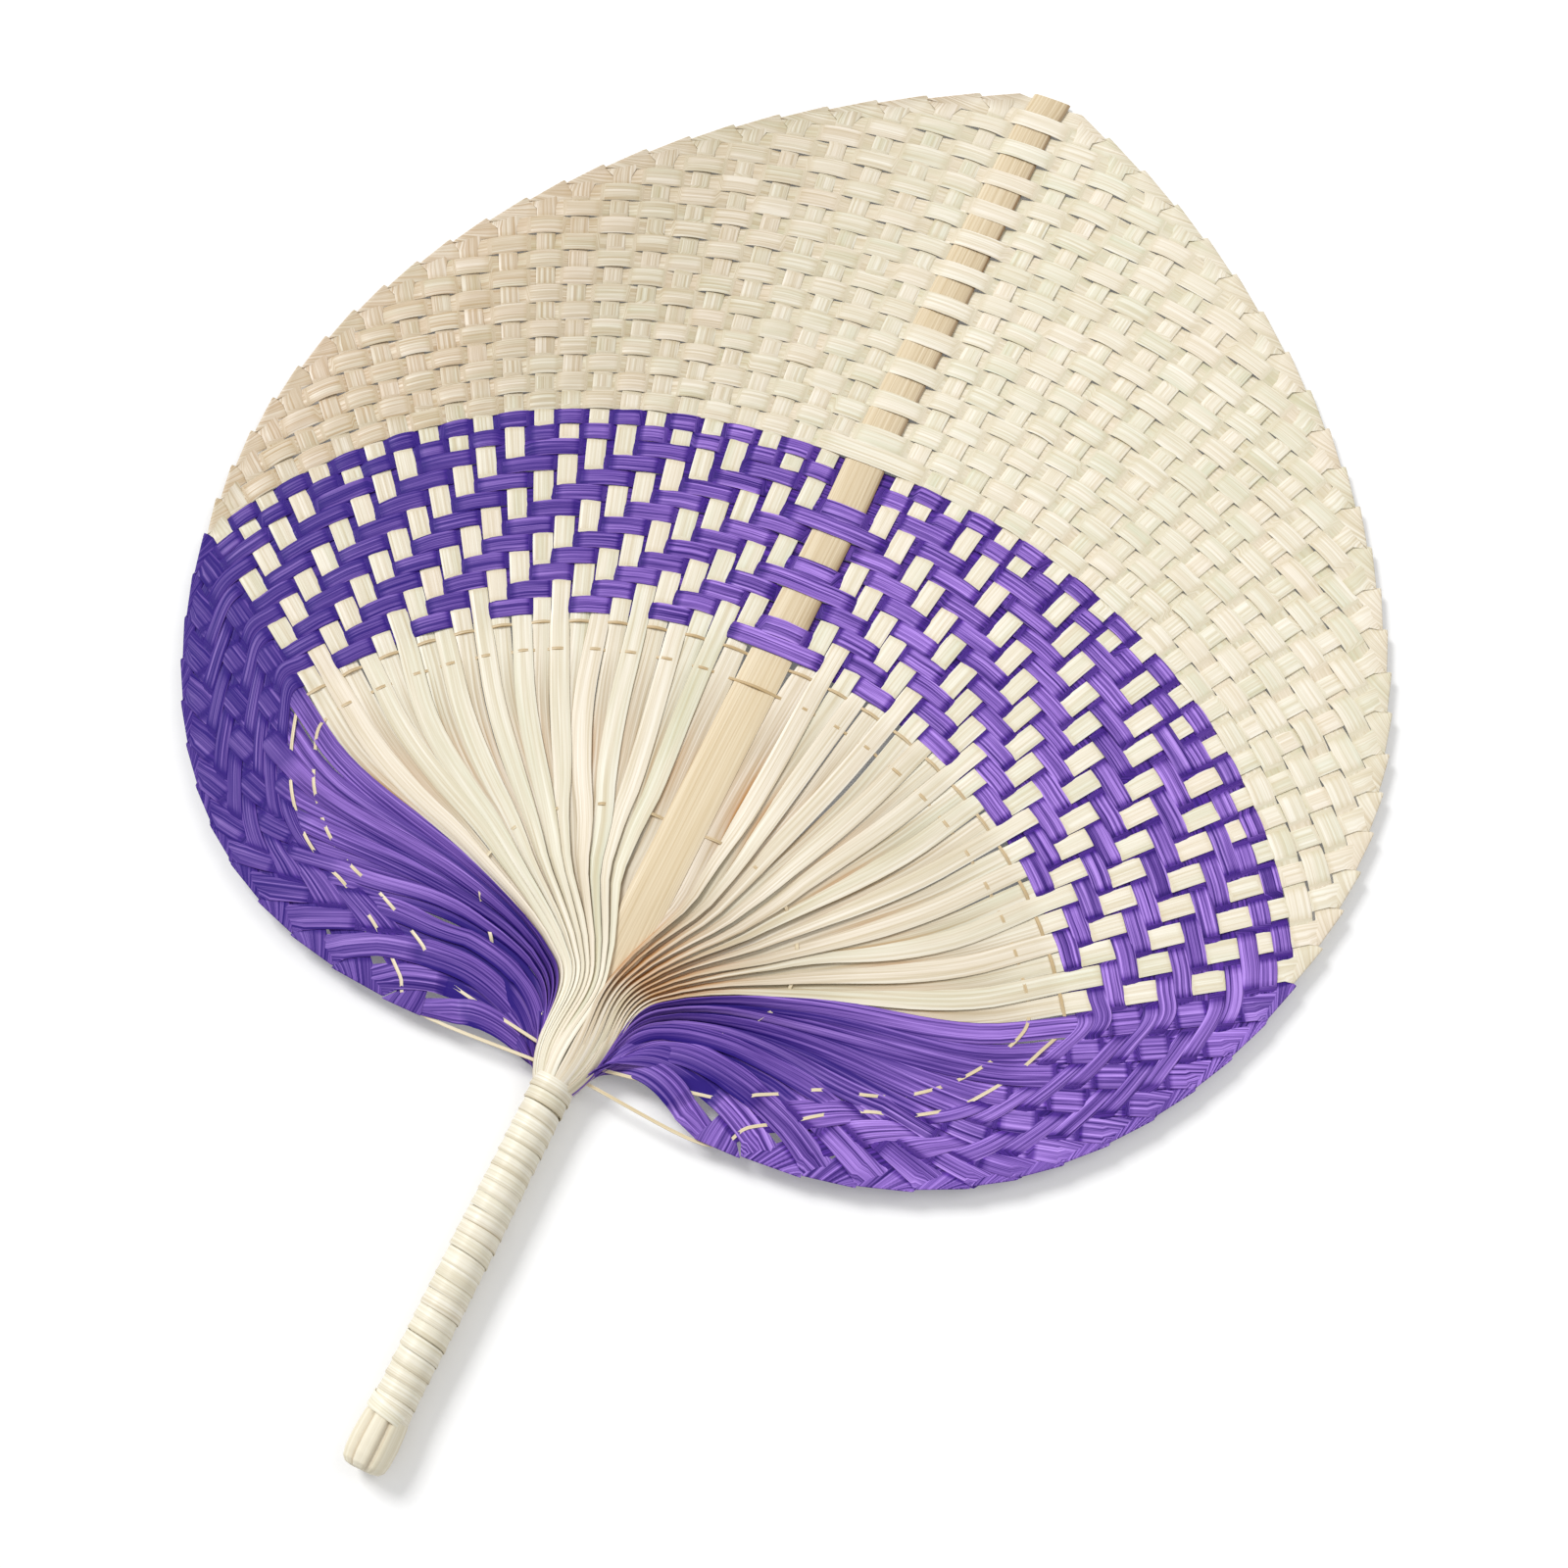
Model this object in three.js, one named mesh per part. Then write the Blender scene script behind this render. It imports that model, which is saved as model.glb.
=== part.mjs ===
// Woven hand fan: a heart-shaped leaf of plaited splints on a bound handle.
// Millimetres, +Z up, +Y from the handle to the tip, +X to the right.
// Every splint rises from the neck on the left, folds over at the rim, crosses the leaf as one row
// of the weave, folds over at the other rim and comes back down to the neck on the right.
import * as THREE from "three";

// Driving dimensions.
const LEAF_LENGTH = 305;
const HANDLE_LENGTH = 95;
const HANDLE_DIAMETER = 9.8;
const NATURAL_COUNT = 23;
const PURPLE_COUNT = 13;
const NATURAL_WIDTH = 5.0;
const PURPLE_WIDTH = 4.3;
const SPLINT_THICKNESS = 0.3;
const SPINE_WIDTH = 10.8;
const SPINE_THICKNESS = 0.8;
const SPINE_FOOT_WIDTH = 3.2;
const SPINE_TAPER = 20;
const STRAND_WIDTH = 1.0;
const STRAND_THICKNESS = 0.6;
const BINDING_TURNS = 24;
const BINDING_OFFSET = 3.5;
const BINDING_THICKNESS = 0.5;

// Clearances.
const CROSSING_GAP = 0.15;
const EDGE_GAP = 0.22;
const ROW_GAP = 0.4;
const WARP_FILL = 0.74;
const BLADE_GAP = 0.25;
const SPINE_SIDE_GAP = 1.6;
const SEAT_GAP = 0.7;
const TURN_GAP = 0.48;
const WEAVE_START = 1.5;
const FLOOR_GAP = 0.05;

// Angles of the splints at the rim, in degrees from the axis of the fan.
const NATURAL_SPREAD = 58.2;
const PURPLE_SPREAD = 98.5;

// The purple band, measured from the neck, and how far it closes in on the neck in the lobes.
const BAND_OUTER = 172.5;
const BAND_INNER = 113;
const LOBE_INNER = 110;
const LOBE_CLOSING = 0.77;

// Fall of the rim for each degree from the tip, and its further falls past the shoulder and the lobe.
const RIM_FALL = 0.00754;
const SHOULDER_FALL = 0.00223;
const SHOULDER_ANGLE = 46;
const LOBE_FALL = 0.00393;
const LOBE_ANGLE = 85;

// Where the splints leave the neck, the radius at which they are fully spread, and their squeeze.
const NECK_REACH = 24.5;
const LOBE_NECK_REACH = 18;
const SPREAD_RADIUS = 95;
const NECK_SQUEEZE = 0.51;
const NECK_THICKNESS = 2.4;
const PLEAT_DEPTH = 0.2;

// The strands behind the splints, measured from the neck.
const MIDDLE_STRAND = 102.8;
const INNER_STRAND = 62.4;
const STRAND_INSET = 2.4;
const LOBE_STRAND_INSET = 3.2;

// The handle.
const BUTT_LENGTH = 8.4;
const BUTT_SWELL = 0.5;
const BUTT_GROOVE = 0.45;
const CORE_STEP = 1.3;

const COUNT = PURPLE_COUNT + NATURAL_COUNT;
const HALF = SPLINT_THICKNESS / 2;
const LIFT = SPLINT_THICKNESS + CROSSING_GAP + 0.01;
const SPINE_LIFT = SPINE_THICKNESS / 2 + HALF + CROSSING_GAP + 0.01;
const SPINE_HALF = SPINE_WIDTH / 2;
const SPINE_TIP_HALF = SPINE_FOOT_WIDTH / 2;
const SPINE_FOOT = NECK_REACH + SEAT_GAP;
const SPINE_FULL = SPINE_FOOT + SPINE_TAPER;

const BINDING_OUTER = HANDLE_DIAMETER / 2;
const BINDING_STEPS = 8;
const BINDING_INNER = BINDING_OUTER - BINDING_THICKNESS;
const CORE_RADIUS = BINDING_INNER * Math.cos(Math.PI / BINDING_STEPS) - 0.1;
const BUTT_RADIUS = BINDING_OUTER + BUTT_SWELL;
const BUTT_FLAT = BINDING_OUTER + BUTT_SWELL / 2;
const HANDLE_HEIGHT = BUTT_FLAT;
const TIP_HEIGHT = SPINE_LIFT + HALF + FLOOR_GAP;

const clamp = THREE.MathUtils.clamp;
const lerp = THREE.MathUtils.lerp;
const rad = THREE.MathUtils.degToRad;
const soft = (x, width) => width * Math.log(1 + Math.exp(x / width));

// Height of the middle of the leaf: level at the handle, falling evenly to the tip.
function leafHeight(y) {
  return y <= 0 ? HANDLE_HEIGHT : lerp(HANDLE_HEIGHT, TIP_HEIGHT, y / LEAF_LENGTH);
}

const isPurple = (k) => k <= PURPLE_COUNT;
const splintWidth = (k) => (isPurple(k) ? PURPLE_WIDTH : NATURAL_WIDTH);

// Angle of splint k at the rim: number 1 is the lowest in the lobe, the last stands beside the spine.
function rimAngle(k) {
  if (isPurple(k)) {
    const step = (PURPLE_SPREAD - NATURAL_SPREAD) / PURPLE_COUNT;
    return PURPLE_SPREAD - (k - 0.5) * step;
  }
  return NATURAL_SPREAD * (1 - (k - PURPLE_COUNT - 0.5) / NATURAL_COUNT);
}

// Radius of the rim at an angle: a straight fall from the tip, steeper past the shoulder and the lobe.
function rimRadius(angle) {
  const shoulder = SHOULDER_FALL * soft(angle - SHOULDER_ANGLE, 4);
  const lobe = LOBE_FALL * soft(angle - LOBE_ANGLE, 3);
  return LEAF_LENGTH * (1 - RIM_FALL * angle - shoulder - lobe);
}

const foldRadius = (k) => rimRadius(rimAngle(k)) - splintWidth(k) / 4;

function neckRadius(k) {
  if (!isPurple(k)) return NECK_REACH;
  return lerp(LOBE_NECK_REACH, NECK_REACH, (k - 0.5) / PURPLE_COUNT);
}

// How far a splint has spread from the axis at a radius, as a share of its full spread.
function spread(k, r) {
  const u = clamp((r - neckRadius(k)) / (SPREAD_RADIUS - neckRadius(k)), 0, 1);
  return 1 - NECK_SQUEEZE * (1 - u) * (1 - u);
}

const splintAngle = (k, r) => rad((rimAngle(k) * spread(k, r)) / spread(k, foldRadius(k)));

const spineHalf = (r) =>
  lerp(SPINE_TIP_HALF, SPINE_HALF, clamp((r - SPINE_FOOT) / (SPINE_FULL - SPINE_FOOT), 0, 1));

function centre(k, r) {
  const a = splintAngle(k, r);
  return new THREE.Vector2(spineHalf(r) + SPINE_SIDE_GAP + r * Math.sin(a), r * Math.cos(a));
}

// Middle of splint k at a radius, with its direction and the direction away from the axis.
function frame(k, r) {
  const along = centre(k, r + 0.4).sub(centre(k, r - 0.4)).normalize();
  return { c: centre(k, r), along, away: new THREE.Vector2(along.y, -along.x) };
}

// Room from one splint to the next, measured square to the splint.
function warpPitch(k, r) {
  const { c, away } = frame(k, r);
  const beside = [k - 1, k + 1].filter((n) => n >= 1 && n <= COUNT);
  return Math.min(...beside.map((n) => Math.abs(centre(n, r).sub(c).dot(away))));
}

const bandOuter = (angle) => BAND_OUTER * (1 - 0.067 * Math.pow(angle / NATURAL_SPREAD, 3));
const bandInner = (angle) => BAND_INNER * (1 - 0.03 * (angle / NATURAL_SPREAD));

// Radius at which splint k meets the innermost row.
function innerRadius(k) {
  if (!isPurple(k)) return bandInner(rimAngle(k));
  const share = (PURPLE_COUNT - k) / (PURPLE_COUNT - 1);
  return Math.min(LOBE_INNER * (1 - LOBE_CLOSING * share), foldRadius(k) - 4);
}

// Width of splint k where it stands as a warp.
function warpWidth(k, r) {
  const inner = innerRadius(k);
  const outer = foldRadius(k);
  const atInner = Math.min(splintWidth(k), WARP_FILL * warpPitch(k, inner));
  const atOuter = Math.min(splintWidth(k), WARP_FILL * warpPitch(k, outer - 1));
  return lerp(atInner, atOuter, clamp((r - inner) / (outer - inner), 0, 1));
}

// Tilt of the splints where they overlap like shingles on their way to the neck,
// evened out over the splints on either side, and none where the weave begins.
function ownTilt(k, r) {
  const pitch = warpPitch(k, r);
  const crowd = clamp((warpWidth(k, r) + 0.6 - pitch) / 0.6, 0, 1);
  return crowd * Math.asin(Math.min(0.95, (SPLINT_THICKNESS + BLADE_GAP) / pitch));
}
function tilt(k, r) {
  const beside = [-4, -3, -2, -1, 0, 1, 2, 3, 4].map((d) => ownTilt(clamp(k + d, 1, COUNT), r));
  const mean = beside.reduce((sum, a) => sum + a, 0) / beside.length;
  const free = innerRadius(k) - WEAVE_START - r;
  return mean * clamp(free / (0.3 * (innerRadius(k) - neckRadius(k))), 0, 1);
}

// Radius and room of row j where it meets splint k, or the spine when k is past the last splint.
function row(j, k) {
  const angle = k > COUNT ? 0 : rimAngle(k);
  if (k <= PURPLE_COUNT) {
    const pitch = (foldRadius(k) - innerRadius(k)) / (k - 0.5);
    return { r: innerRadius(k) + pitch * (j - 0.5), pitch };
  }
  if (isPurple(j)) {
    const pitch = (bandOuter(angle) - bandInner(angle)) / PURPLE_COUNT;
    return { r: bandInner(angle) + pitch * (j - 0.5), pitch };
  }
  const outer = k > COUNT ? LEAF_LENGTH - NATURAL_WIDTH / 4 : foldRadius(k);
  const rows = k > COUNT ? NATURAL_COUNT : k - PURPLE_COUNT - 0.5;
  const pitch = (outer - bandOuter(angle)) / rows;
  return { r: bandOuter(angle) + pitch * (j - PURPLE_COUNT - 0.5), pitch };
}

// Which side of splint k row j passes on: 1 is the front, -1 the back.
// The natural rows and the two purple rows next to them are plain weave.
// The other purple rows are a twill, over two and under two.
// At the spine the first natural row floats over, and the purple row next to it runs under.
function side(j, k) {
  if (k === j) return 1;
  if (k > COUNT && j === PURPLE_COUNT + 1) return 1;
  if (k > COUNT && j === PURPLE_COUNT) return -1;
  const step = k - j + 1;
  const over = j >= PURPLE_COUNT - 1 ? step % 2 === 1 : step % 4 < 2;
  return over ? 1 : -1;
}

// Direction of row j beside splint k, on its outer or its inner side, for each unit across the splint.
function rowRun(j, k, outside) {
  const { away } = frame(k, row(j, k).r);
  const low = (outside && k > j) || k === COUNT ? k - 1 : k;
  const run = centre(low + 1, row(j, low + 1).r).sub(centre(low, row(j, low).r));
  return run.divideScalar(Math.min(-0.35 * run.length(), run.dot(away)));
}

// Half of the row's width along splint k, kept clear of the rows beside it.
function rowReach(j, k) {
  const here = row(j, k);
  const room = here.pitch / 2 - ROW_GAP / 2;
  const slant = k > COUNT ? 1 : Math.min(rowRun(j, k, true).length(), rowRun(j, k, false).length());
  return Math.min((splintWidth(j) / 2) * slant, room);
}

// Four corners of a section from two edge points; the face named out is above or below.
function corners(hand, edgeA, edgeB, zA, zB, up, normal) {
  const lift = (p, z, sign) => [
    hand * (p.x + sign * up * HALF * normal.x),
    p.y + sign * up * HALF * normal.y,
    leafHeight(p.y) + z + sign * up * HALF * normal.z,
  ];
  return [lift(edgeA, zA, 1), lift(edgeB, zB, 1), lift(edgeB, zB, -1), lift(edgeA, zA, -1)];
}

const UPRIGHT = new THREE.Vector3(0, 0, 1);

function warpSection(hand, k, r) {
  const { c, away } = frame(k, r);
  const lean = tilt(k, r);
  const half = warpWidth(k, r) / 2;
  const reach = half * Math.cos(lean);
  const rise = half * Math.sin(lean);
  const edgeA = c.clone().addScaledVector(away, -reach);
  const edgeB = c.clone().addScaledVector(away, reach);
  const normal = new THREE.Vector3(away.x * Math.sin(lean), away.y * Math.sin(lean), Math.cos(lean));
  return corners(hand, edgeA, edgeB, rise, -rise, -1, normal);
}

function rowSection(hand, j, k, offset, z) {
  const { c, along } = frame(k, row(j, k).r);
  const reach = rowReach(j, k);
  const mid = c.clone().addScaledVector(rowRun(j, k, offset > 0), offset);
  const edgeA = mid.clone().addScaledVector(along, reach);
  const edgeB = mid.clone().addScaledVector(along, -reach);
  return corners(hand, edgeA, edgeB, z, z, 1, UPRIGHT);
}

function spineSection(hand, j) {
  const { r } = row(j, COUNT + 1);
  const reach = rowReach(j, COUNT + 1);
  const x = spineHalf(r) + 0.2;
  const z = side(j, COUNT + 1) * SPINE_LIFT;
  return corners(hand, new THREE.Vector2(x, r + reach), new THREE.Vector2(x, r - reach), z, z, 1, UPRIGHT);
}

// The fold at the rim: the mitred end of the warp, and the start of the row above it.
function foldSections(hand, k) {
  const r = foldRadius(k);
  const { c, along, away } = frame(k, r);
  const half = warpWidth(k, r) / 2;
  const reach = Math.min(half, row(k, k).pitch / 2 - ROW_GAP / 2);
  const edgeA = c.clone().addScaledVector(away, -half).addScaledVector(along, reach);
  const edgeB = c.clone().addScaledVector(away, half).addScaledVector(along, -reach);
  const line = edgeA.clone().sub(edgeB).normalize();
  const out = new THREE.Vector2(line.y, -line.x);
  if (out.dot(along) < 0) out.negate();
  out.setLength(HALF);
  const outerA = edgeA.clone().add(out);
  const outerB = edgeB.clone().add(out);
  const mitre = (lean) => new THREE.Vector3(lean * out.x, lean * out.y, HALF).divideScalar(HALF);
  return [
    corners(hand, outerA, outerB, 0, 0, -1, mitre(-1)),
    corners(hand, outerA, outerB, LIFT, LIFT, 1, mitre(1)),
  ];
}

// Radii at which the warp leg of splint k has a section.
function warpRadii(k) {
  const start = neckRadius(k);
  const inner = innerRadius(k) - WEAVE_START;
  const free = [0, 0.1, 0.28, 0.6, 1].map((s) => lerp(start, inner, s));
  const woven = k > 1 && k < PURPLE_COUNT ? [0.3, 0.65] : [];
  return [...free, ...woven.map((s) => lerp(inner, foldRadius(k), s))];
}

// Height of a plain row over the middle of a warp, so that it clears the warp's edges on its way down.
function swing(j, k) {
  const { r } = row(j, k);
  return LIFT / (1 - Math.min(0.75, warpWidth(k, r) / warpPitch(k, r)));
}

// One half of splint j: from the neck up its warp leg, over the fold and along its row to the spine.
function halfSplint(hand, j) {
  const sections = warpRadii(j).map((r) => warpSection(hand, j, r));
  sections.push(...foldSections(hand, j));
  const edge = (k) => {
    const width = warpWidth(k, row(j, k).r);
    return width / 2 + Math.min(EDGE_GAP, 0.25 * (warpPitch(k, row(j, k).r) - width));
  };
  const zigzag = j >= PURPLE_COUNT;
  if (j !== PURPLE_COUNT) sections.push(rowSection(hand, j, j, -edge(j), LIFT));
  for (let k = j + 1; k <= COUNT; k += 1) {
    const s = side(j, k);
    if (zigzag && k < COUNT) {
      sections.push(rowSection(hand, j, k, 0, s * swing(j, k)));
      continue;
    }
    const sameBefore = k > j + 1 && side(j, k - 1) === s;
    const sameAfter = k < COUNT && side(j, k + 1) === s;
    const bends = k <= PURPLE_COUNT + 1;
    if (!sameBefore || bends) sections.push(rowSection(hand, j, k, edge(k), s * LIFT));
    if (!sameAfter || (bends && k >= PURPLE_COUNT)) sections.push(rowSection(hand, j, k, -edge(k), s * LIFT));
  }
  sections.push(spineSection(hand, j));
  return sections;
}

// A closed solid from a list of sections that all have the same number of corners.
// A strip's two wide faces are split along the same diagonal, so a twisted strip keeps its thickness,
// and a strip that runs from one side of the fan to the other is split alike on both sides.
function solidFromSections(sections, twoSided = false) {
  const n = sections[0].length;
  const points = sections.flat();
  const faces = [];
  const end = (sections.length - 1) * n;
  for (let a = 0; a < end; a += n) {
    const b = a + n;
    const leftHalf = twoSided && 2 * a < end;
    for (let c = 0; c < n; c += 1) {
      const d = (c + 1) % n;
      const otherWay = n === 4 && (c === 2) !== leftHalf;
      if (otherWay) faces.push([a + c, b + c, a + d], [b + c, b + d, a + d]);
      else faces.push([a + c, b + c, b + d], [a + c, b + d, a + d]);
    }
  }
  for (let c = 1; c < n - 1; c += 1) {
    faces.push([0, c, c + 1], [end, end + c + 1, end + c]);
  }
  return solidFromFaces(points, faces);
}

// A geometry whose faces are turned to point outwards.
function solidFromFaces(points, faces) {
  const v = points.map((p) => new THREE.Vector3(...p));
  const six = faces.reduce((sum, [a, b, c]) => sum + v[a].dot(v[b].clone().cross(v[c])), 0);
  const index = faces.flatMap(([a, b, c]) => (six > 0 ? [a, b, c] : [a, c, b]));
  const geometry = new THREE.BufferGeometry();
  geometry.setAttribute("position", new THREE.Float32BufferAttribute(points.flat(), 3));
  geometry.setIndex(index);
  geometry.computeVertexNormals();
  return geometry;
}

const splintGeometry = (j) =>
  solidFromSections([...halfSplint(-1, j), ...halfSplint(1, j).reverse()], true);

// The flat spine: a tapered foot between the gathered splints, then one width up to the tip.
function spineGeometry() {
  const stations = [SPINE_FOOT, SPINE_FULL, LEAF_LENGTH];
  return solidFromSections(
    stations.map((y) => {
      const x = spineHalf(y);
      const z = leafHeight(y);
      const h = SPINE_THICKNESS / 2;
      return [[-x, y, z + h], [x, y, z + h], [x, y, z - h], [-x, y, z - h]];
    }),
  );
}

// A fine bamboo strand behind the splints, from one side of the neck round to the other.
function strandGeometry(reach, lobeReach, lobeEnd) {
  const right = [];
  const steps = 5;
  for (let i = 0; i < steps; i += 1) {
    const k = COUNT + 1 - (i * (NATURAL_COUNT + 1)) / steps;
    right.push(strandPoint(k, reach(k)));
  }
  for (let k = PURPLE_COUNT; k > lobeEnd; k -= 2) right.push(strandPoint(k, lobeReach(k)));
  right.push(strandPoint(lobeEnd, lobeReach(lobeEnd)));
  const left = right.map(({ c, z }) => ({ c: new THREE.Vector2(-c.x, c.y), z })).reverse();
  const path = [...left, ...right];
  return solidFromSections(
    path.map(({ c, z }, i) => {
      const before = path[Math.max(0, i - 1)].c;
      const after = path[Math.min(path.length - 1, i + 1)].c;
      const across = after.clone().sub(before).normalize();
      const w = STRAND_WIDTH / 2;
      const a = new THREE.Vector2(c.x - across.y * w, c.y + across.x * w);
      const b = new THREE.Vector2(c.x + across.y * w, c.y - across.x * w);
      const top = z + STRAND_THICKNESS / 2;
      const low = z - STRAND_THICKNESS / 2;
      return [
        [a.x, a.y, leafHeight(a.y) + top],
        [b.x, b.y, leafHeight(b.y) + top],
        [b.x, b.y, leafHeight(b.y) + low],
        [a.x, a.y, leafHeight(a.y) + low],
      ];
    }),
  );
}

// A point of a strand at splint number k, which may fall between two splints.
function strandPoint(k, r) {
  const near = clamp(Math.round(k), 1, COUNT);
  const low = clamp(Math.floor(k), 1, COUNT);
  const high = Math.min(COUNT, low + 1);
  const c = k > COUNT ? new THREE.Vector2(0.5 * SPINE_HALF, r) : centre(low, r).lerp(centre(high, r), k - low);
  const rise = (warpWidth(near, r) / 2) * Math.sin(tilt(near, r)) + HALF;
  const z = -Math.max(rise, SPINE_THICKNESS / 2) - 1.5 * CROSSING_GAP - STRAND_THICKNESS / 2;
  return { c, z };
}

// The gathered tails of all the splints: a round core under the binding, a grooved butt below it
// and a flat pleated flare above it that carries the splints.
function bundleGeometry() {
  const points = 24;
  const turn = (i) => (2 * Math.PI * i) / points;
  const ring = (y, radius, flat, groove) =>
    Array.from({ length: points }, (_, i) => {
      const cut = i % 4 === 2 && Math.cos(turn(i)) > -0.1 ? groove : 0;
      const z = (radius - cut) * Math.cos(turn(i));
      return [(radius - cut) * Math.sin(turn(i)), y, HANDLE_HEIGHT + Math.max(z, -flat)];
    });
  const end = -HANDLE_LENGTH;
  const bevel = 0.35 * BUTT_RADIUS;
  const sections = [
    ring(end, 0.62 * BUTT_RADIUS, 0.62 * BUTT_RADIUS, BUTT_GROOVE),
    ring(end + 0.3 * bevel, 0.84 * BUTT_RADIUS, 0.84 * BUTT_RADIUS, BUTT_GROOVE),
    ring(end + bevel, BUTT_RADIUS, BUTT_FLAT, BUTT_GROOVE),
    ring(end + bevel + BUTT_LENGTH, BUTT_RADIUS, BUTT_FLAT, BUTT_GROOVE),
    ring(end + bevel + BUTT_LENGTH + CORE_STEP, CORE_RADIUS, CORE_RADIUS, 0),
    ring(BINDING_START - BINDING_PITCH, CORE_RADIUS, CORE_RADIUS, 0),
  ];
  const endAngle = splintAngle(1, neckRadius(1));
  const purpleAngle = splintAngle(PURPLE_COUNT, neckRadius(PURPLE_COUNT));
  const beside = spineHalf(NECK_REACH) + SPINE_SIDE_GAP;
  for (const s of [0, 0.25, 0.5, 0.75, 1]) {
    sections.push(
      Array.from({ length: points }, (_, i) => {
        const q = Math.sin(turn(i));
        const a = Math.abs(q) * endAngle;
        const low = clamp((a - purpleAngle) / (endAngle - purpleAngle), 0, 1);
        const drop = SEAT_GAP * (1 + 1.6 * Math.min(1, 3 * low));
        const r = lerp(NECK_REACH, LOBE_NECK_REACH, low) - drop;
        const topX = Math.sign(q) * (beside * Math.min(1, 4 * Math.abs(q)) + r * Math.sin(a));
        const curve = new THREE.QuadraticBezierCurve(
          new THREE.Vector2(CORE_RADIUS * q, BINDING_START + TURN_GAP),
          new THREE.Vector2(1.2 * CORE_RADIUS * q, lerp(0.45 * NECK_REACH, 0.1 * NECK_REACH, low)),
          new THREE.Vector2(topX, r * Math.cos(a)),
        );
        const p = curve.getPoint(s);
        const pleat = i % 2 === 1 ? PLEAT_DEPTH * s : 0;
        const h = lerp(CORE_RADIUS, NECK_THICKNESS / 2, s) - pleat;
        const flat = Math.pow(Math.abs(Math.cos(turn(i))), lerp(1, 0.6, s));
        return [p.x, p.y, leafHeight(p.y) + Math.sign(Math.cos(turn(i))) * h * flat];
      }),
    );
  }
  return solidFromSections(sections);
}

// The flat strip wound round the handle, and the least gap between its turns.
const BINDING_START = -BINDING_OFFSET;
const BINDING_END = -HANDLE_LENGTH + 0.35 * BUTT_RADIUS + BUTT_LENGTH + CORE_STEP + TURN_GAP;
const BINDING_PITCH = (BINDING_START - BINDING_END) / (BINDING_TURNS + 1);
const BINDING_WIDTH = BINDING_PITCH - TURN_GAP;

function bindingSections() {
  const steps = BINDING_TURNS * BINDING_STEPS;
  return Array.from({ length: steps + 1 }, (_, i) => {
    const b = (2 * Math.PI * i) / BINDING_STEPS;
    const y = BINDING_START - BINDING_WIDTH / 2 - (BINDING_PITCH * i) / BINDING_STEPS;
    const at = (radius, dy) => [
      radius * Math.sin(b),
      y + dy,
      HANDLE_HEIGHT + radius * Math.cos(b),
    ];
    const w = BINDING_WIDTH / 2;
    return [at(BINDING_OUTER, w), at(BINDING_OUTER, -w), at(BINDING_INNER, -w), at(BINDING_INNER, w)];
  });
}

// Least distance between the lower edge of each turn and the upper edge of the next, point to point.
function bindingGap(sections) {
  let least = Infinity;
  for (let i = 0; i + BINDING_STEPS < sections.length; i += 1) {
    for (const corner of [1, 2]) {
      const a = new THREE.Vector3(...sections[i][corner]);
      for (let d = -2; d <= 2; d += 1) {
        const other = sections[i + BINDING_STEPS + d];
        if (!other) continue;
        for (const upper of [0, 3]) {
          least = Math.min(least, a.distanceTo(new THREE.Vector3(...other[upper])));
        }
      }
    }
  }
  return least;
}

const binding = bindingSections();
console.log("least gap between turns of the binding: " + bindingGap(binding).toFixed(2) + " mm");

const finish = (color, roughness) =>
  new THREE.MeshStandardMaterial({ color, roughness, metalness: 0 });
const NATURAL = finish(0xe6dcc0, 0.6);
const PURPLE = finish(0x6446a8, 0.5);
const SPINE = finish(0xe0cda4, 0.6);
const STRAND = finish(0xe9dfc2, 0.6);
const BINDING = finish(0xdfd6b6, 0.55);
const BUNDLE = finish(0xd9c9a0, 0.65);

const pieces = [];
const two = (n) => String(n).padStart(2, "0");
for (let j = 1; j <= COUNT; j += 1) {
  const name = isPurple(j) ? "purple_splint_" + two(j) : "natural_splint_" + two(j - PURPLE_COUNT);
  pieces.push([name, splintGeometry(j), isPurple(j) ? PURPLE : NATURAL]);
}
pieces.push(["spine", spineGeometry(), SPINE]);
pieces.push(["neck_bundle", bundleGeometry(), BUNDLE]);
pieces.push(["handle_binding", solidFromSections(binding), BINDING]);

// The three fine strands, named from the weave inwards.
pieces.push([
  "strand_outer",
  strandGeometry(
    (k) => bandInner(rimAngle(Math.min(COUNT, k))) - STRAND_INSET,
    (k) => innerRadius(k) - LOBE_STRAND_INSET,
    1,
  ),
  STRAND,
]);
pieces.push([
  "strand_middle",
  strandGeometry(
    (k) => (MIDDLE_STRAND / BAND_INNER) * bandInner(rimAngle(Math.min(COUNT, k))),
    (k) => (MIDDLE_STRAND / BAND_INNER) * innerRadius(k) - STRAND_INSET,
    2,
  ),
  STRAND,
]);
pieces.push([
  "strand_inner",
  strandGeometry(
    (k) => INNER_STRAND * (1 - 0.28 * Math.pow((COUNT + 1 - k) / (NATURAL_COUNT + 1), 2)),
    (k) => lerp(1.15 * NECK_REACH, 0.72 * INNER_STRAND, (k - 4) / (PURPLE_COUNT - 4)),
    4,
  ),
  STRAND,
]);

// The origin sits under the middle of the bounding box, on the ground.
const box = new THREE.Box3();
for (const [, geometry] of pieces) {
  geometry.computeBoundingBox();
  box.union(geometry.boundingBox);
}
const middle = box.getCenter(new THREE.Vector3());
const group = new THREE.Group();
group.name = "woven_hand_fan";
for (const [name, geometry, material] of pieces) {
  geometry.translate(-middle.x, -middle.y, -box.min.z);
  const mesh = new THREE.Mesh(geometry, material);
  mesh.name = name;
  group.add(mesh);
}
console.log("box " + box.getSize(new THREE.Vector3()).toArray().map((v) => v.toFixed(2)).join(" x "));
console.log("origin at y " + middle.y.toFixed(3) + ", z " + box.min.z.toFixed(3) + " of the neck frame");

export default group;
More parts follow.
